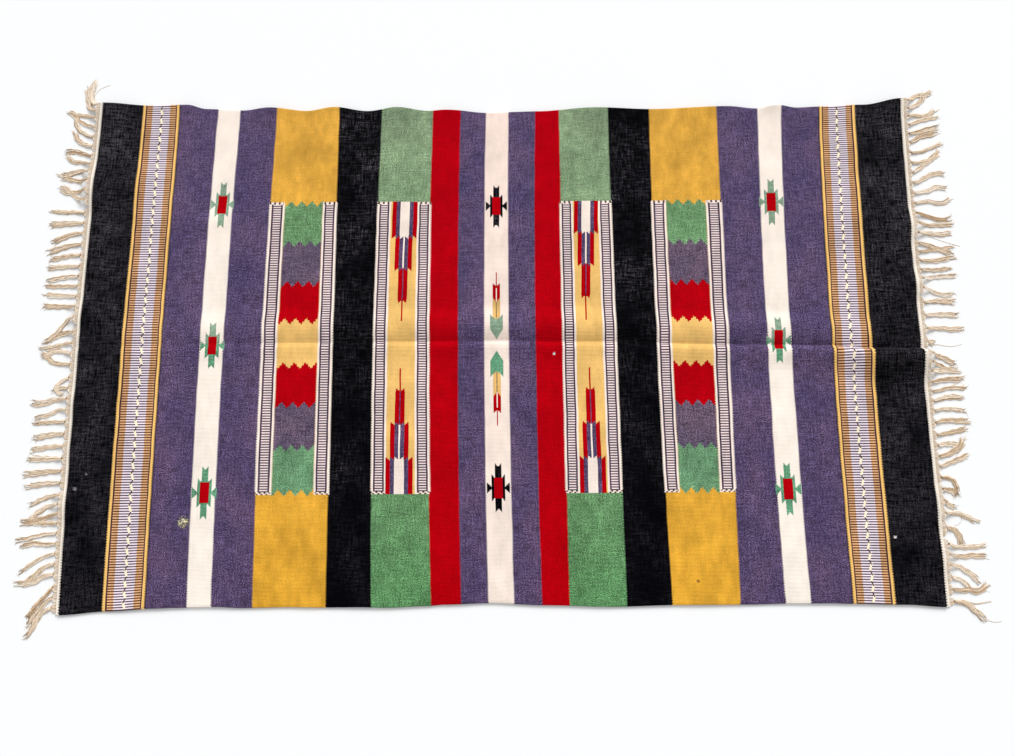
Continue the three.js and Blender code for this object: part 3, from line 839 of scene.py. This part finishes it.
# Woven wool: weft-faced, so its colour is all in the wefts, which hide the warps and show as
# fine beads in rows. Matt, soft to the eye, and each dye a little uneven from weft to weft.
def wovenWool():
    material = emptyMaterial("woven wool, weft-faced")
    tree = material.node_tree
    place = addNode(tree, "ShaderNodeUVMap", {"uv_map": "flatPlace"}).outputs[0]
    split = addNode(tree, "ShaderNodeSeparateXYZ", None, {0: place})
    drift = addNode(tree, "ShaderNodeTexNoise", {"noise_dimensions": "2D"},
                    {"Vector": place, "Scale": wool["driftScale"], "Detail": 2.0})
    pitch = design["warpPair"] / 2
    values = {"uMetres": split.outputs[0], "vMetres": split.outputs[1], "drift": drift.outputs[0]}
    endU, endV = lie["halfLength"], design["panelEnd"]
    # what the whole of a ramp stands for
    figureSpan, offSpan, crossSpan, blockSpan = 250.0, 25.0, 45.0, 300.0
    bandSums = [row for name, band in bands.items() for row in (
        ("outer" + name, "GREATER_THAN", "au", band["middle"]),
        ("reach" + name, "MULTIPLY_ADD", "outer" + name, band["outer"] - band["inner"],
         band["inner"]),
        ("width" + name, "MULTIPLY_ADD", "outer" + name, band["outerLadder"] - band["ladder"],
         band["ladder"]),
        ("from" + name, "SUBTRACT", "au", band["middle"]),
        ("off" + name, "ABSOLUTE", "from" + name),
        ("into" + name, "SUBTRACT", "reach" + name, "off" + name),
        ("ladder" + name, "DIVIDE", "into" + name, "width" + name),
        ("fromEven" + name, "SUBTRACT", "auEven", band["middle"]),
        ("offEven" + name, "ABSOLUTE", "fromEven" + name),
        ("intoEven" + name, "SUBTRACT", "reach" + name, "offEven" + name),
        ("rails" + name, "DIVIDE", "intoEven" + name, "width" + name),
    )]
    sums = (  # name, operation and parts: u is along the cloth and v across, in millimetres
        ("u", "MULTIPLY", "uMetres", 1000.0),
        ("v", "MULTIPLY", "vMetres", 1000.0),
        ("pairTurn", "DIVIDE", "v", design["warpPair"]),
        ("pairShare", "FRACT", "pairTurn"),
        ("isLight", "GREATER_THAN", "pairShare", design["lightFrom"]),
        ("toothStep", "MULTIPLY", "isLight", 2 * design["teeth"]),
        ("driftOff", "MULTIPLY_ADD", "drift", 2 * design["wander"], -design["wander"]),
        ("folded", "ABSOLUTE", "u"),
        ("driftedOnce", "ADD", "folded", "driftOff"),
        ("au", "SUBTRACT", "driftedOnce", "toothStep"),
        ("auEven", "SUBTRACT", "driftedOnce", design["teeth"]),
        ("warpStart", "SNAP", "v", pitch),
        ("vc", "ADD", "warpStart", pitch / 2 - design["middle"]),
        ("av", "ABSOLUTE", "vc"),
        ("stripeShare", "DIVIDE", "au", endU),
        ("farShare", "MULTIPLY_ADD", "v", 0.5 / lie["halfWidth"], 0.5),
        # the ladders down both sides of the green and yellow bands
        *bandSums,
        ("toothedShare", "MAXIMUM", "ladderGreen", "ladderYellow"),
        ("inBand", "GREATER_THAN", "toothedShare", 0.0),
        ("ladderShare", "MAXIMUM", "railsGreen", "railsYellow"),
        ("ladderPlace", "MULTIPLY", "ladderShare", 0.5),
        ("inReach", "LESS_THAN", "av", endV),
        ("inPanel", "MULTIPLY", "inBand", "inReach"),
        # the overcast stitches at the ladders' ends
        ("inEndRow", "GREATER_THAN", "av", endV - endStitches["depth"]),
        ("besideEdge", "LESS_THAN", "ladderShare", endStitches["stopAt"]),
        ("endLadder", "MULTIPLY", "inEndRow", "besideEdge"),
        ("stitchGround", "MULTIPLY", "endLadder", "inPanel"),
        ("stitchSlant", "MULTIPLY_ADD", "av", endStitches["slant"], "au"),
        ("stitchTurn", "DIVIDE", "stitchSlant", endStitches["turn"]),
        ("stitchShare", "FRACT", "stitchTurn"),
        ("stitchDark", "LESS_THAN", "stitchShare", endStitches["dark"]),
        ("stitches", "MULTIPLY", "stitchGround", "stitchDark"),
        # the yellow band's zigzag blocks
        ("fromInner", "SUBTRACT", "au", zigzag["start"]),
        ("zigzag", "PINGPONG", "fromInner", zigzag["halfTurn"]),
        ("zigzagFall", "MULTIPLY_ADD", "zigzag", zigzag["height"] / zigzag["halfTurn"],
         -zigzag["height"] / 2),
        ("vZigzag", "ADD", "vc", "zigzagFall"),
        ("avZigzag", "ABSOLUTE", "vZigzag"),
        ("blockShare", "DIVIDE", "avZigzag", blockSpan),
        ("inBlock", "GREATER_THAN", "ladderYellow", 1.0),
        # the end bands, toothed only at their edges, and the first cream wefts at the cloth's end
        ("fromEndBand", "SUBTRACT", "au", endBand["start"] + endBand["width"] / 2),
        ("offEndBand", "ABSOLUTE", "fromEndBand"),
        ("inEndBand", "LESS_THAN", "offEndBand", endBand["width"] / 2),
        ("endBandPlace", "SUBTRACT", "auEven", endBand["start"]),
        ("endBandShare", "DIVIDE", "endBandPlace", endBand["width"]),
        ("endCream", "GREATER_THAN", "au", endU - design["endCream"]),
        # the zigzag line in the middle of them
        ("bandTurn", "DIVIDE", "v", bandLine["turn"]),
        ("bandPart", "FRACT", "bandTurn"),
        ("creamMiddle", "MULTIPLY_ADD", "bandPart", -bandLine["lean"] / bandLine["legEnd"],
         bandLine["middle"] + bandLine["lean"] / 2),
        ("fromCream", "SUBTRACT", "driftedOnce", "creamMiddle"),
        ("offCream", "ABSOLUTE", "fromCream"),
        ("nearCream", "LESS_THAN", "offCream", bandLine["creamHalf"]),
        ("creamLeg", "LESS_THAN", "bandPart", bandLine["legEnd"] + bandLine["legOver"]),
        ("bandCream", "MULTIPLY", "nearCream", "creamLeg"),
        ("darkMiddle", "MULTIPLY_ADD", "bandPart", bandLine["lean"] / (1 - bandLine["legEnd"]),
         bandLine["middle"] + bandLine["lean"] / 2 - bandLine["lean"] / (1 - bandLine["legEnd"])),
        ("fromDark", "SUBTRACT", "driftedOnce", "darkMiddle"),
        ("offDark", "ABSOLUTE", "fromDark"),
        ("nearDark", "LESS_THAN", "offDark", bandLine["darkHalf"]),
        ("darkLeg", "GREATER_THAN", "bandPart", bandLine["legEnd"] - bandLine["legOver"]),
        ("bandDark", "MULTIPLY", "nearDark", "darkLeg"),
        # the green band's stepped figure, each step with forked ends
        ("vFigure", "ADD", "vc", design["middle"] - figure["middle"]),
        ("avFigure", "ABSOLUTE", "vFigure"),
        ("isLeft", "LESS_THAN", "u", 0.0),
        ("isRight", "SUBTRACT", 1.0, "isLeft"),
        ("aboveFold", "GREATER_THAN", "v", -1.0),
        ("farRight", "MULTIPLY", "isRight", "aboveFold"),
        ("leftLean", "MULTIPLY_ADD", "v", *figure["leftLean"]),
        ("leftMiddle", "MULTIPLY_ADD", "isLeft", "leftLean", bands["Green"]["middle"]),
        ("farLean", "MULTIPLY_ADD", "v", *figure["farRightLean"]),
        ("figureMiddle", "MULTIPLY_ADD", "farRight", "farLean", "leftMiddle"),
        ("fromFigure", "SUBTRACT", "auEven", "figureMiddle"),
        ("offFigure", "ABSOLUTE", "fromFigure"),
        ("forkTurn", "MODULO", "offFigure", figure["step"]),
        ("forkRise", "MULTIPLY_ADD", "forkTurn", figure["fork"] / figure["step"],
         -figure["fork"] / 2),
        ("pastLine", "GREATER_THAN", "av", figure["thinLine"]),
        ("farSteps", "MULTIPLY", "farRight", "pastLine"),
        ("avSteps", "MULTIPLY_ADD", "farSteps", -figure["farRightSteps"], "avFigure"),
        ("figurePlace", "ADD", "avSteps", "forkRise"),
        ("figureShare", "DIVIDE", "figurePlace", figureSpan),
        ("figureOff", "DIVIDE", "offFigure", offSpan),
        # the crosses of the cream stripes
        ("isSide", "GREATER_THAN", "au", crosses["sideFrom"]),
        ("fromSide", "SUBTRACT", "auEven", crosses["sideMiddle"]),
        ("offSide", "ABSOLUTE", "fromSide"),
        ("offCentre", "ABSOLUTE", "auEven"),
        ("off", "MINIMUM", "offCentre", "offSide"),
        ("offShare", "DIVIDE", "off", offSpan),
        ("crossAt", "MULTIPLY_ADD", "isSide", crosses["sideFurther"], crosses["outerPlace"]),
        ("fromCross", "SUBTRACT", "av", "crossAt"),
        ("outerHeight", "ABSOLUTE", "fromCross"),
        ("notSide", "SUBTRACT", 1.0, "isSide"),
        ("foldShift", "MULTIPLY_ADD", "isRight", *crosses["foldPlace"]),
        ("vFoldCross", "ADD", "vc", "foldShift"),
        ("avFoldCross", "ABSOLUTE", "vFoldCross"),
        ("innerHeight", "MULTIPLY_ADD", "notSide", 1000.0, "avFoldCross"),
        ("crossHeight", "MINIMUM", "outerHeight", "innerHeight"),
        # those at the fold are smaller than the outer ones
        ("isOuter", "GREATER_THAN", "av", crosses["outerPlace"] / 2),
        ("outerScale", "MULTIPLY_ADD", "isSide", *crosses["outerScale"]),
        ("crossScale", "MULTIPLY_ADD", "isOuter", "outerScale", crosses["scale"]),
        ("crossReach", "MULTIPLY", "crossHeight", "crossScale"),
        ("crossShare", "DIVIDE", "crossReach", crossSpan),
        ("outerWidth", "MULTIPLY_ADD", "isSide", *crosses["outerWidth"]),
        ("heartWidth", "MULTIPLY_ADD", "isOuter", "outerWidth", crosses["heartWidth"]),
        ("foldHeart", "MULTIPLY_ADD", "isRight", *crosses["heartHeight"]),
        ("outerGain", "MULTIPLY_ADD", "isRight", *crosses["outerHeight"]),
        ("heartHeight", "MULTIPLY_ADD", "isOuter", "outerGain", "foldHeart"),
        # the two arrows of the middle stripe
        ("fromShaft", "SUBTRACT", "u", arrow["shaft"]),
        ("offShaft", "ABSOLUTE", "fromShaft"),
        ("shaftShare", "DIVIDE", "offShaft", offSpan),
        ("vFlat", "ADD", "warpStart", pitch / 2),
        ("upper", "MULTIPLY_ADD", "vFlat", 1 / arrow["tip"][1], -arrow["tip"][0] / arrow["tip"][1]),
        ("lower", "MULTIPLY_ADD", "vFlat", -1 / arrow["mirroredTip"][1],
         arrow["mirroredTip"][0] / arrow["mirroredTip"][1]),
        ("arrowShare", "MAXIMUM", "upper", "lower"),
        ("tipEdge", "MULTIPLY", "offShaft", arrow["tipSlope"]),
        ("pastTip", "GREATER_THAN", "arrowShare", "tipEdge"),
    )
    addRows(tree, mathNode, values, sums)

    ramps = (
        ("stripesNear", "stripeShare", colourStops(stripes, endU, 0)),
        ("stripesFar", "stripeShare", colourStops(stripes, endU, 1)),
        ("endBand", "endBandShare", colourStops(endBand["stripes"], endBand["width"], 0)),
        ("bandRungs", "endBandShare", rungStops(endBand["stripes"], endBand["width"])),
        ("bandTan", "endBandShare", rungStops(endBand["stripes"], endBand["width"], ("rungTan",))),
        ("ladder", "ladderPlace", colourStops(ladder, 2.0, 0)),
        ("ladderRungs", "ladderPlace", rungStops(ladder, 2.0)),
        ("blocksNear", "blockShare", colourStops(blocks, blockSpan, 0)),
        ("blocksFar", "blockShare", colourStops(blocks, blockSpan, 1)),
        ("figure", "figureShare", {"steps": "CONSTANT", "places": [
            (row[0] / figureSpan, (*(half / offSpan for half in row[1:]), 1))
            for row in figure["rows"]]}),
        ("cross", "offShare", {"steps": "LINEAR", "places": [
            (off / offSpan, (height / crossSpan,) * 3 + (1,))
            for off, height in crosses["outline"]]}),
        ("arrow", "shaftShare", {"steps": "LINEAR", "places": [
            (row[0] / offSpan, (*row[1:], 1)) for row in arrow["rows"]]}),
    )
    for name, key, stops in ramps:
        node = addNode(tree, "ShaderNodeValToRGB", None, {0: values[key]}, stops)
        values[name] = node.outputs[0]
    for name, parts in (("figure", ("halfRed", "halfPurple", "halfWhite")),
                        ("arrow", ("stopGreen", "stopYellow", "stopRed"))):
        node = addNode(tree, "ShaderNodeSeparateColor", None, {0: values[name]})
        for part, socket in zip(parts, node.outputs):
            values[part] = socket

    masks = (
        ("panelRungs", "MULTIPLY", "ladderRungs", "inPanel"),
        ("endRungs", "MULTIPLY", "bandRungs", "inEndBand"),
        ("tanRungs", "MULTIPLY", "bandTan", "inEndBand"),
        ("rungs", "MAXIMUM", "endRungs", "panelRungs"),
        ("isDark", "LESS_THAN", "pairShare", design["lightFrom"]),
        ("darkRungs", "MULTIPLY", "rungs", "isDark"),
        ("brownRungs", "MULTIPLY", "tanRungs", "isDark"),
        *(row for part in ("Red", "Purple", "White") for row in (
            ("in" + part, "LESS_THAN", "figureOff", "half" + part),
            ("figure" + part, "MULTIPLY", "in" + part, "inReach"))),
        ("crossMask", "LESS_THAN", "crossShare", "cross"),
        ("inHeart", "LESS_THAN", "crossHeight", "heartHeight"),
        ("inHeartWidth", "LESS_THAN", "off", "heartWidth"),
        ("heart", "MULTIPLY", "inHeart", "inHeartWidth"),
        *(row for part in ("Red", "Yellow", "Green") for row in (
            ("under" + part, "LESS_THAN", "arrowShare", "stop" + part),
            ("arrow" + part, "MULTIPLY", "under" + part, "pastTip"))),
        ("inLine", "LESS_THAN", "offShaft", arrow["lineHalf"]),
        ("pastGreen", "GREATER_THAN", "arrowShare", arrow["lineFrom"]),
        ("thinLine", "MULTIPLY", "inLine", "pastGreen"),
        ("beforeEnd", "LESS_THAN", "arrowShare", 1.0),
        ("arrowLine", "MULTIPLY", "thinLine", "beforeEnd"),
        ("beforeNotch", "LESS_THAN", "arrowShare", arrow["whiteTo"]),
        ("whiteLine", "MULTIPLY", "thinLine", "beforeNotch"),
        ("shaftLine", "MULTIPLY", "thinLine", "underYellow"),
    )
    addRows(tree, mathNode, values, masks)

    for name in ("stripes", "blocks"):
        values[name] = addNode(tree, "ShaderNodeMix", mixOver, {
            0: values["farShare"], 6: values[name + "Near"], 7: values[name + "Far"]}).outputs[2]
    greens = [linear(dye) for dye in dyes["crossGreen"]]
    values["greenDye"] = addNode(tree, "ShaderNodeMix", mixOver, {
        0: values["aboveFold"], 6: greens[0], 7: greens[1]}).outputs[2]
    values["crossDye"] = addNode(tree, "ShaderNodeMix", mixOver, {
        0: values["isSide"], 6: linear(dyes["black"][0]), 7: values["greenDye"]}).outputs[2]
    layers = (  # each over the one before: where it shows, and its dye or what gives its colour
        ("inEndBand", "endBand"), ("endCream", "sideCream"), ("inPanel", "ladder"),
        ("inBlock", "blocks"), ("figureRed", "red"), ("figurePurple", "purple"),
        ("figureWhite", "cream"), ("crossMask", "crossDye"), ("heart", "red"),
        ("arrowLine", "red"), ("arrowRed", "red"), ("whiteLine", "cream"),
        ("arrowYellow", "arrowYellow"), ("shaftLine", "shaftLine"), ("arrowGreen", "greenDye"),
        ("darkRungs", "ladderPurple"), ("brownRungs", "rungBrown"), ("stitchGround", "cream"),
        ("stitches", "bandDash"), ("bandCream", "bandCream"), ("bandDark", "bandDash"),
    )
    colour = values["stripes"]
    for mask, dye in layers:
        over = linear(dyes[dye][0]) if dye in dyes else values[dye]
        colour = addNode(tree, "ShaderNodeMix", mixOver, {
            0: values[mask], 6: colour, 7: over}).outputs[2]

    # Uneven dye: fine grain, streaks along the wefts and the ribs, and slow patches. The single
    # wefts are finer than shows from here, so the grain is as coarse as two or three of them.
    unevenness = (  # map scale along and across, how much darker and lighter it goes, and where
        ((600.0, 600.0, 1.0), 2.3, "fineShare"),
        ((330.0, 50.0, 1.0), 0.5, "fineShare"),
        ((50.0, 300.0, 1.0), 0.5, "fineShare"),
        ((18.0, 13.0, 1.0), 0.36, "slowShare"),
        ((62.0, 34.0, 1.0), 0.3, "slowShare"),
    )
    dyeParts = addNode(tree, "ShaderNodeSeparateColor", {"mode": "HSV"}, {0: colour})
    depth = dyeParts.outputs[2]
    shares = addNode(tree, "ShaderNodeValToRGB", None, {0: depth}, {"steps": "LINEAR", "places": [
        (level, (fine, slow, 0, 1)) for level, fine, slow in (
            (0.0, 1.0, 1.0), (0.1, 1.0, 0.6), (0.2, 0.8, 0.55), (0.28, 0.7, 0.9),
            (0.42, 0.24, 0.4), (0.52, 0.24, 0.4), (0.68, 0.17, 0.8), (0.78, 0.13, 0.6),
            (0.92, 0.05, 0.25))]}).outputs[0]
    shareParts = addNode(tree, "ShaderNodeSeparateColor", None, {0: shares})
    values["fineShare"], values["slowShare"] = shareParts.outputs[0], shareParts.outputs[1]
    dyeColour = addNode(tree, "ShaderNodeSeparateColor", None, {0: colour})
    for turn, (scale, contrast, share) in enumerate(unevenness):
        spot = addNode(tree, "ShaderNodeMapping", None, {
            "Vector": place, "Scale": scale, "Location": (turn * 3.1, turn * 1.7, 0.0)}).outputs[0]
        noise = addNode(tree, "ShaderNodeTexNoise", {"noise_dimensions": "2D"},
                        {"Vector": spot, "Scale": 1.0, "Detail": 1.0}).outputs[0]
        fleck = "fleck" + str(turn)
        values[fleck] = noise
        addRows(tree, mathNode, values, (
            ("swing", "MULTIPLY_ADD", fleck, 2 * contrast, 1 - contrast),
            ("tone", "MAXIMUM", "swing", wool["leastTone"]),
        ))
        colour = addNode(tree, "ShaderNodeMix", mixTimes, {
            0: values[share], 6: colour, 7: values["tone"]}).outputs[2]

    # The purple turns bluer and redder in slow patches. Dust and broken fibres grey the blacks,
    # unevenly, most at the ends and towards the far hem.
    values.update(depth=depth, redPart=dyeColour.outputs[0], greenPart=dyeColour.outputs[1],
                  bluePart=dyeColour.outputs[2])
    wear = (
        ("greenLimit", "MULTIPLY", "greenPart", wool["purpleOver"]),
        ("overGreen", "GREATER_THAN", "bluePart", "greenLimit"),
        ("overRed", "GREATER_THAN", "bluePart", "redPart"),
        ("isPurple", "MULTIPLY", "overGreen", "overRed"),
        ("hueTurn", "MULTIPLY_ADD", "fleck3", *wool["hueTurn"]),
        ("isBlack", "LESS_THAN", "depth", wool["blackUnder"]),
        ("atEnds", "GREATER_THAN", "au", wool["dustFrom"]),
        ("midDust", "MULTIPLY_ADD", "farShare", *wool["midDust"]),
        ("endDust", "MULTIPLY_ADD", "farShare", *wool["endDust"]),
        ("dustLevel", "MULTIPLY_ADD", "atEnds", "endDust", "midDust"),
        ("slowDust", "MULTIPLY_ADD", "fleck3", *wool["slowDust"]),
        ("crossStreaks", "ADD", "fleck1", "fleck2"),
        ("streakDust", "MULTIPLY_ADD", "crossStreaks", *wool["streakDust"]),
        ("fineDust", "MULTIPLY_ADD", "fleck0", *wool["fineDust"]),
        ("dustShape", "MULTIPLY", "slowDust", "streakDust"),
        ("dustPower", "MULTIPLY_ADD", "atEnds", -1.0, 2.0),
        ("dustPeaks", "POWER", "dustShape", "dustPower"),
        ("dustGrain", "MULTIPLY", "dustPeaks", "fineDust"),
        ("dustRise", "MAXIMUM", "dustGrain", 0.0),
        ("dust", "MULTIPLY", "dustRise", "dustLevel"),
        ("wear", "MULTIPLY", "dust", "isBlack"),
    )
    addRows(tree, mathNode, values, wear)
    hue = addNode(tree, "ShaderNodeMix", mixOver, {
        0: values["hueTurn"], 6: wool["bluer"], 7: wool["redder"]}).outputs[2]
    colour = addNode(tree, "ShaderNodeMix", mixTimes, {
        0: values["isPurple"], 6: colour, 7: hue}).outputs[2]
    colour = addNode(tree, "ShaderNodeMix", mixOver, {
        0: values["wear"], 6: colour, 7: linear(dyes["dust"][0])}).outputs[2]

    # Small marks with ragged outlines.
    values["tuft"] = addNode(tree, "ShaderNodeTexNoise", {"noise_dimensions": "2D"}, {
        "Vector": place, "Scale": wool["tuftScale"], "Detail": 1.0}).outputs[0]
    for dye, markU, markV, reach, gaps in marks:
        values["gap"] = addNode(tree, "ShaderNodeVectorMath", {"operation": "DISTANCE"}, {
            0: place, 1: (markU * mm, markV * mm, 0.0)}).outputs["Value"]
        addRows(tree, mathNode, values, (
            ("ragged", "MULTIPLY", "fleck0", 2 * reach * mm),
            ("within", "LESS_THAN", "gap", "ragged"),
            ("full", "GREATER_THAN", "tuft", gaps),
            ("inMark", "MULTIPLY", "within", "full"),
        ))
        colour = addNode(tree, "ShaderNodeMix", mixOver, {
            0: values["inMark"], 6: colour, 7: linear(dyes[dye][0])}).outputs[2]

    # The beads of the wefts over the warps: each warp a rib, each weft over every other one.
    beads = (
        ("ribTurn", "MULTIPLY", "v", math.pi / pitch),
        ("ribWave", "SINE", "ribTurn"),
        ("rib", "ABSOLUTE", "ribWave"),
        ("warpIndex", "DIVIDE", "warpStart", pitch),
        ("weftTurn", "MULTIPLY", "u", 2 * math.pi / design["weftWave"]),
        ("weftShift", "MULTIPLY_ADD", "warpIndex", math.pi, "weftTurn"),
        ("weftWave", "SINE", "weftShift"),
        ("beadHeight", "MULTIPLY_ADD", "weftWave", wool["weftHeight"], "rib"),
        ("rough", "MULTIPLY_ADD", "drift", *wool["roughness"]),
    )
    addRows(tree, mathNode, values, beads)
    bump = addNode(tree, "ShaderNodeBump", None,
                   {**wool["beads"], "Height": values["beadHeight"]}).outputs[0]
    shader = addNode(tree, "ShaderNodeBsdfPrincipled", None, {
        "Base Color": colour, "Roughness": values["rough"], "Normal": bump,
        "Specular IOR Level": wool["shine"]})
    addNode(tree, "ShaderNodeOutputMaterial", None, {0: shader.outputs[0]})
    return material


# Undyed plied warp yarn: creamy to tan, with its twist showing as fine slanting turns, darkened
# between the plies by painted shade as well as by the bump.
def warpYarn():
    material = emptyMaterial("undyed warp yarn, plied")
    tree = material.node_tree
    place = addNode(tree, "ShaderNodeUVMap", {"uv_map": "yarnPlace"}).outputs[0]
    split = addNode(tree, "ShaderNodeSeparateXYZ", None, {0: place})
    tone = addNode(tree, "ShaderNodeAttribute", {"attribute_name": "yarnTone"}).outputs["Fac"]
    spots = addNode(tree, "ShaderNodeTexCoord").outputs["Object"]
    patch = addNode(tree, "ShaderNodeTexNoise", None,
                    {"Vector": spots, "Scale": warp["patchScale"], "Detail": 2.0}).outputs[0]
    values = {"around": split.outputs[0], "along": split.outputs[1], "patch": patch}
    sums = (
        ("plyAlong", "MULTIPLY", "along", 2 * math.pi / warp["plyLength"]),
        ("plyTurn", "MULTIPLY_ADD", "around", 2 * math.pi / warp["plyWidth"], "plyAlong"),
        ("plyWave", "SINE", "plyTurn"),
        ("ply", "MULTIPLY_ADD", "plyWave", 0.5, 0.5),
        # Painted shade in the grooves between the plies: the colour darkens along the twist.
        ("plyTone", "MULTIPLY_ADD", "ply", *warp["plyTone"]),
        ("patchTone", "MULTIPLY_ADD", "patch", *warp["patchTone"]),
    )
    addRows(tree, mathNode, values, sums)
    colour = addNode(tree, "ShaderNodeValToRGB", None, {0: tone}, {"steps": "LINEAR", "places": [
        (share, linear(colour)) for share, colour in warp["tones"]]}).outputs[0]
    for part in ("plyTone", "patchTone"):
        colour = addNode(tree, "ShaderNodeMix", mixTimes, {
            0: 1.0, 6: colour, 7: values[part]}).outputs[2]
    bump = addNode(tree, "ShaderNodeBump", None,
                   {**warp["plies"], "Height": values["ply"]}).outputs[0]
    shader = addNode(tree, "ShaderNodeBsdfPrincipled", None, {
        "Base Color": colour, "Normal": bump, "Roughness": warp["roughness"],
        "Specular IOR Level": warp["shine"]})
    addNode(tree, "ShaderNodeOutputMaterial", None, {0: shader.outputs[0]})
    return material


cloth, yarn = wovenWool(), warpYarn()
for piece, material in ((clothPiece, cloth), (leftPiece, yarn), (rightPiece, yarn)):
    piece.data.materials.clear()
    piece.data.materials.append(material)
print("materials made")

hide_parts("woven_cloth")
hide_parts("left_fringe")
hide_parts("right_fringe")
for piece, slotName in (
    (clothPiece, "woven_wool"), (leftPiece, "warp_yarn"), (rightPiece, "warp_yarn"),
):
    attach(piece, "root")

# The pale floor, the lights and the camera.
studio = {
    "floorSize": 8.0,
    "floorColour": "#f0f1f2",
    "lens": 40.0,
    "sensorWidth": 36.0,
    "cameraPlace": (-2.1, -478.4, 1780.6),
    "cameraTurn": (13.2046, -0.1672, -0.3985),
    "skyStrength": 0.62,
    "sunStrength": 3.14,
    "sunSoftness": 30,
    "sunFrom": (0.35, 1.0, 0.62),
}


def makeStudio():
    bpy.ops.mesh.primitive_plane_add(size=studio["floorSize"], location=(0, 0, 0))
    floor = bpy.context.object
    floor.name = "floor"
    paint = bpy.data.materials.new("matt white floor")
    paint.use_nodes = True
    shader = paint.node_tree.nodes["Principled BSDF"]
    shader.inputs["Base Color"].default_value = linear(studio["floorColour"])
    shader.inputs["Roughness"].default_value = 0.9
    floor.data.materials.append(paint)
    world = bpy.context.scene.world or bpy.data.worlds.new("studio")
    bpy.context.scene.world = world
    world.use_nodes = True
    sky = world.node_tree.nodes["Background"]
    sky.inputs["Color"].default_value = linear("#ffffff")
    sky.inputs["Strength"].default_value = studio["skyStrength"]
    bpy.ops.object.light_add(type="SUN")
    sun = bpy.context.object
    sun.data.energy = studio["sunStrength"]
    sun.data.angle = math.radians(studio["sunSoftness"])
    sun.rotation_euler = Vector(studio["sunFrom"]).to_track_quat("Z", "Y").to_euler()
    bpy.ops.object.camera_add()
    camera = bpy.context.object
    camera.data.lens = studio["lens"]
    camera.data.sensor_width = studio["sensorWidth"]
    camera.location = Vector(studio["cameraPlace"]) * mm + toFrame
    camera.rotation_euler = [math.radians(turn) for turn in studio["cameraTurn"]]
    camera.data.clip_end = 20.0
    bpy.context.scene.camera = camera
    bpy.context.scene.view_settings.view_transform = "Standard"
    deselectAll()


makeStudio()
print("studio made")
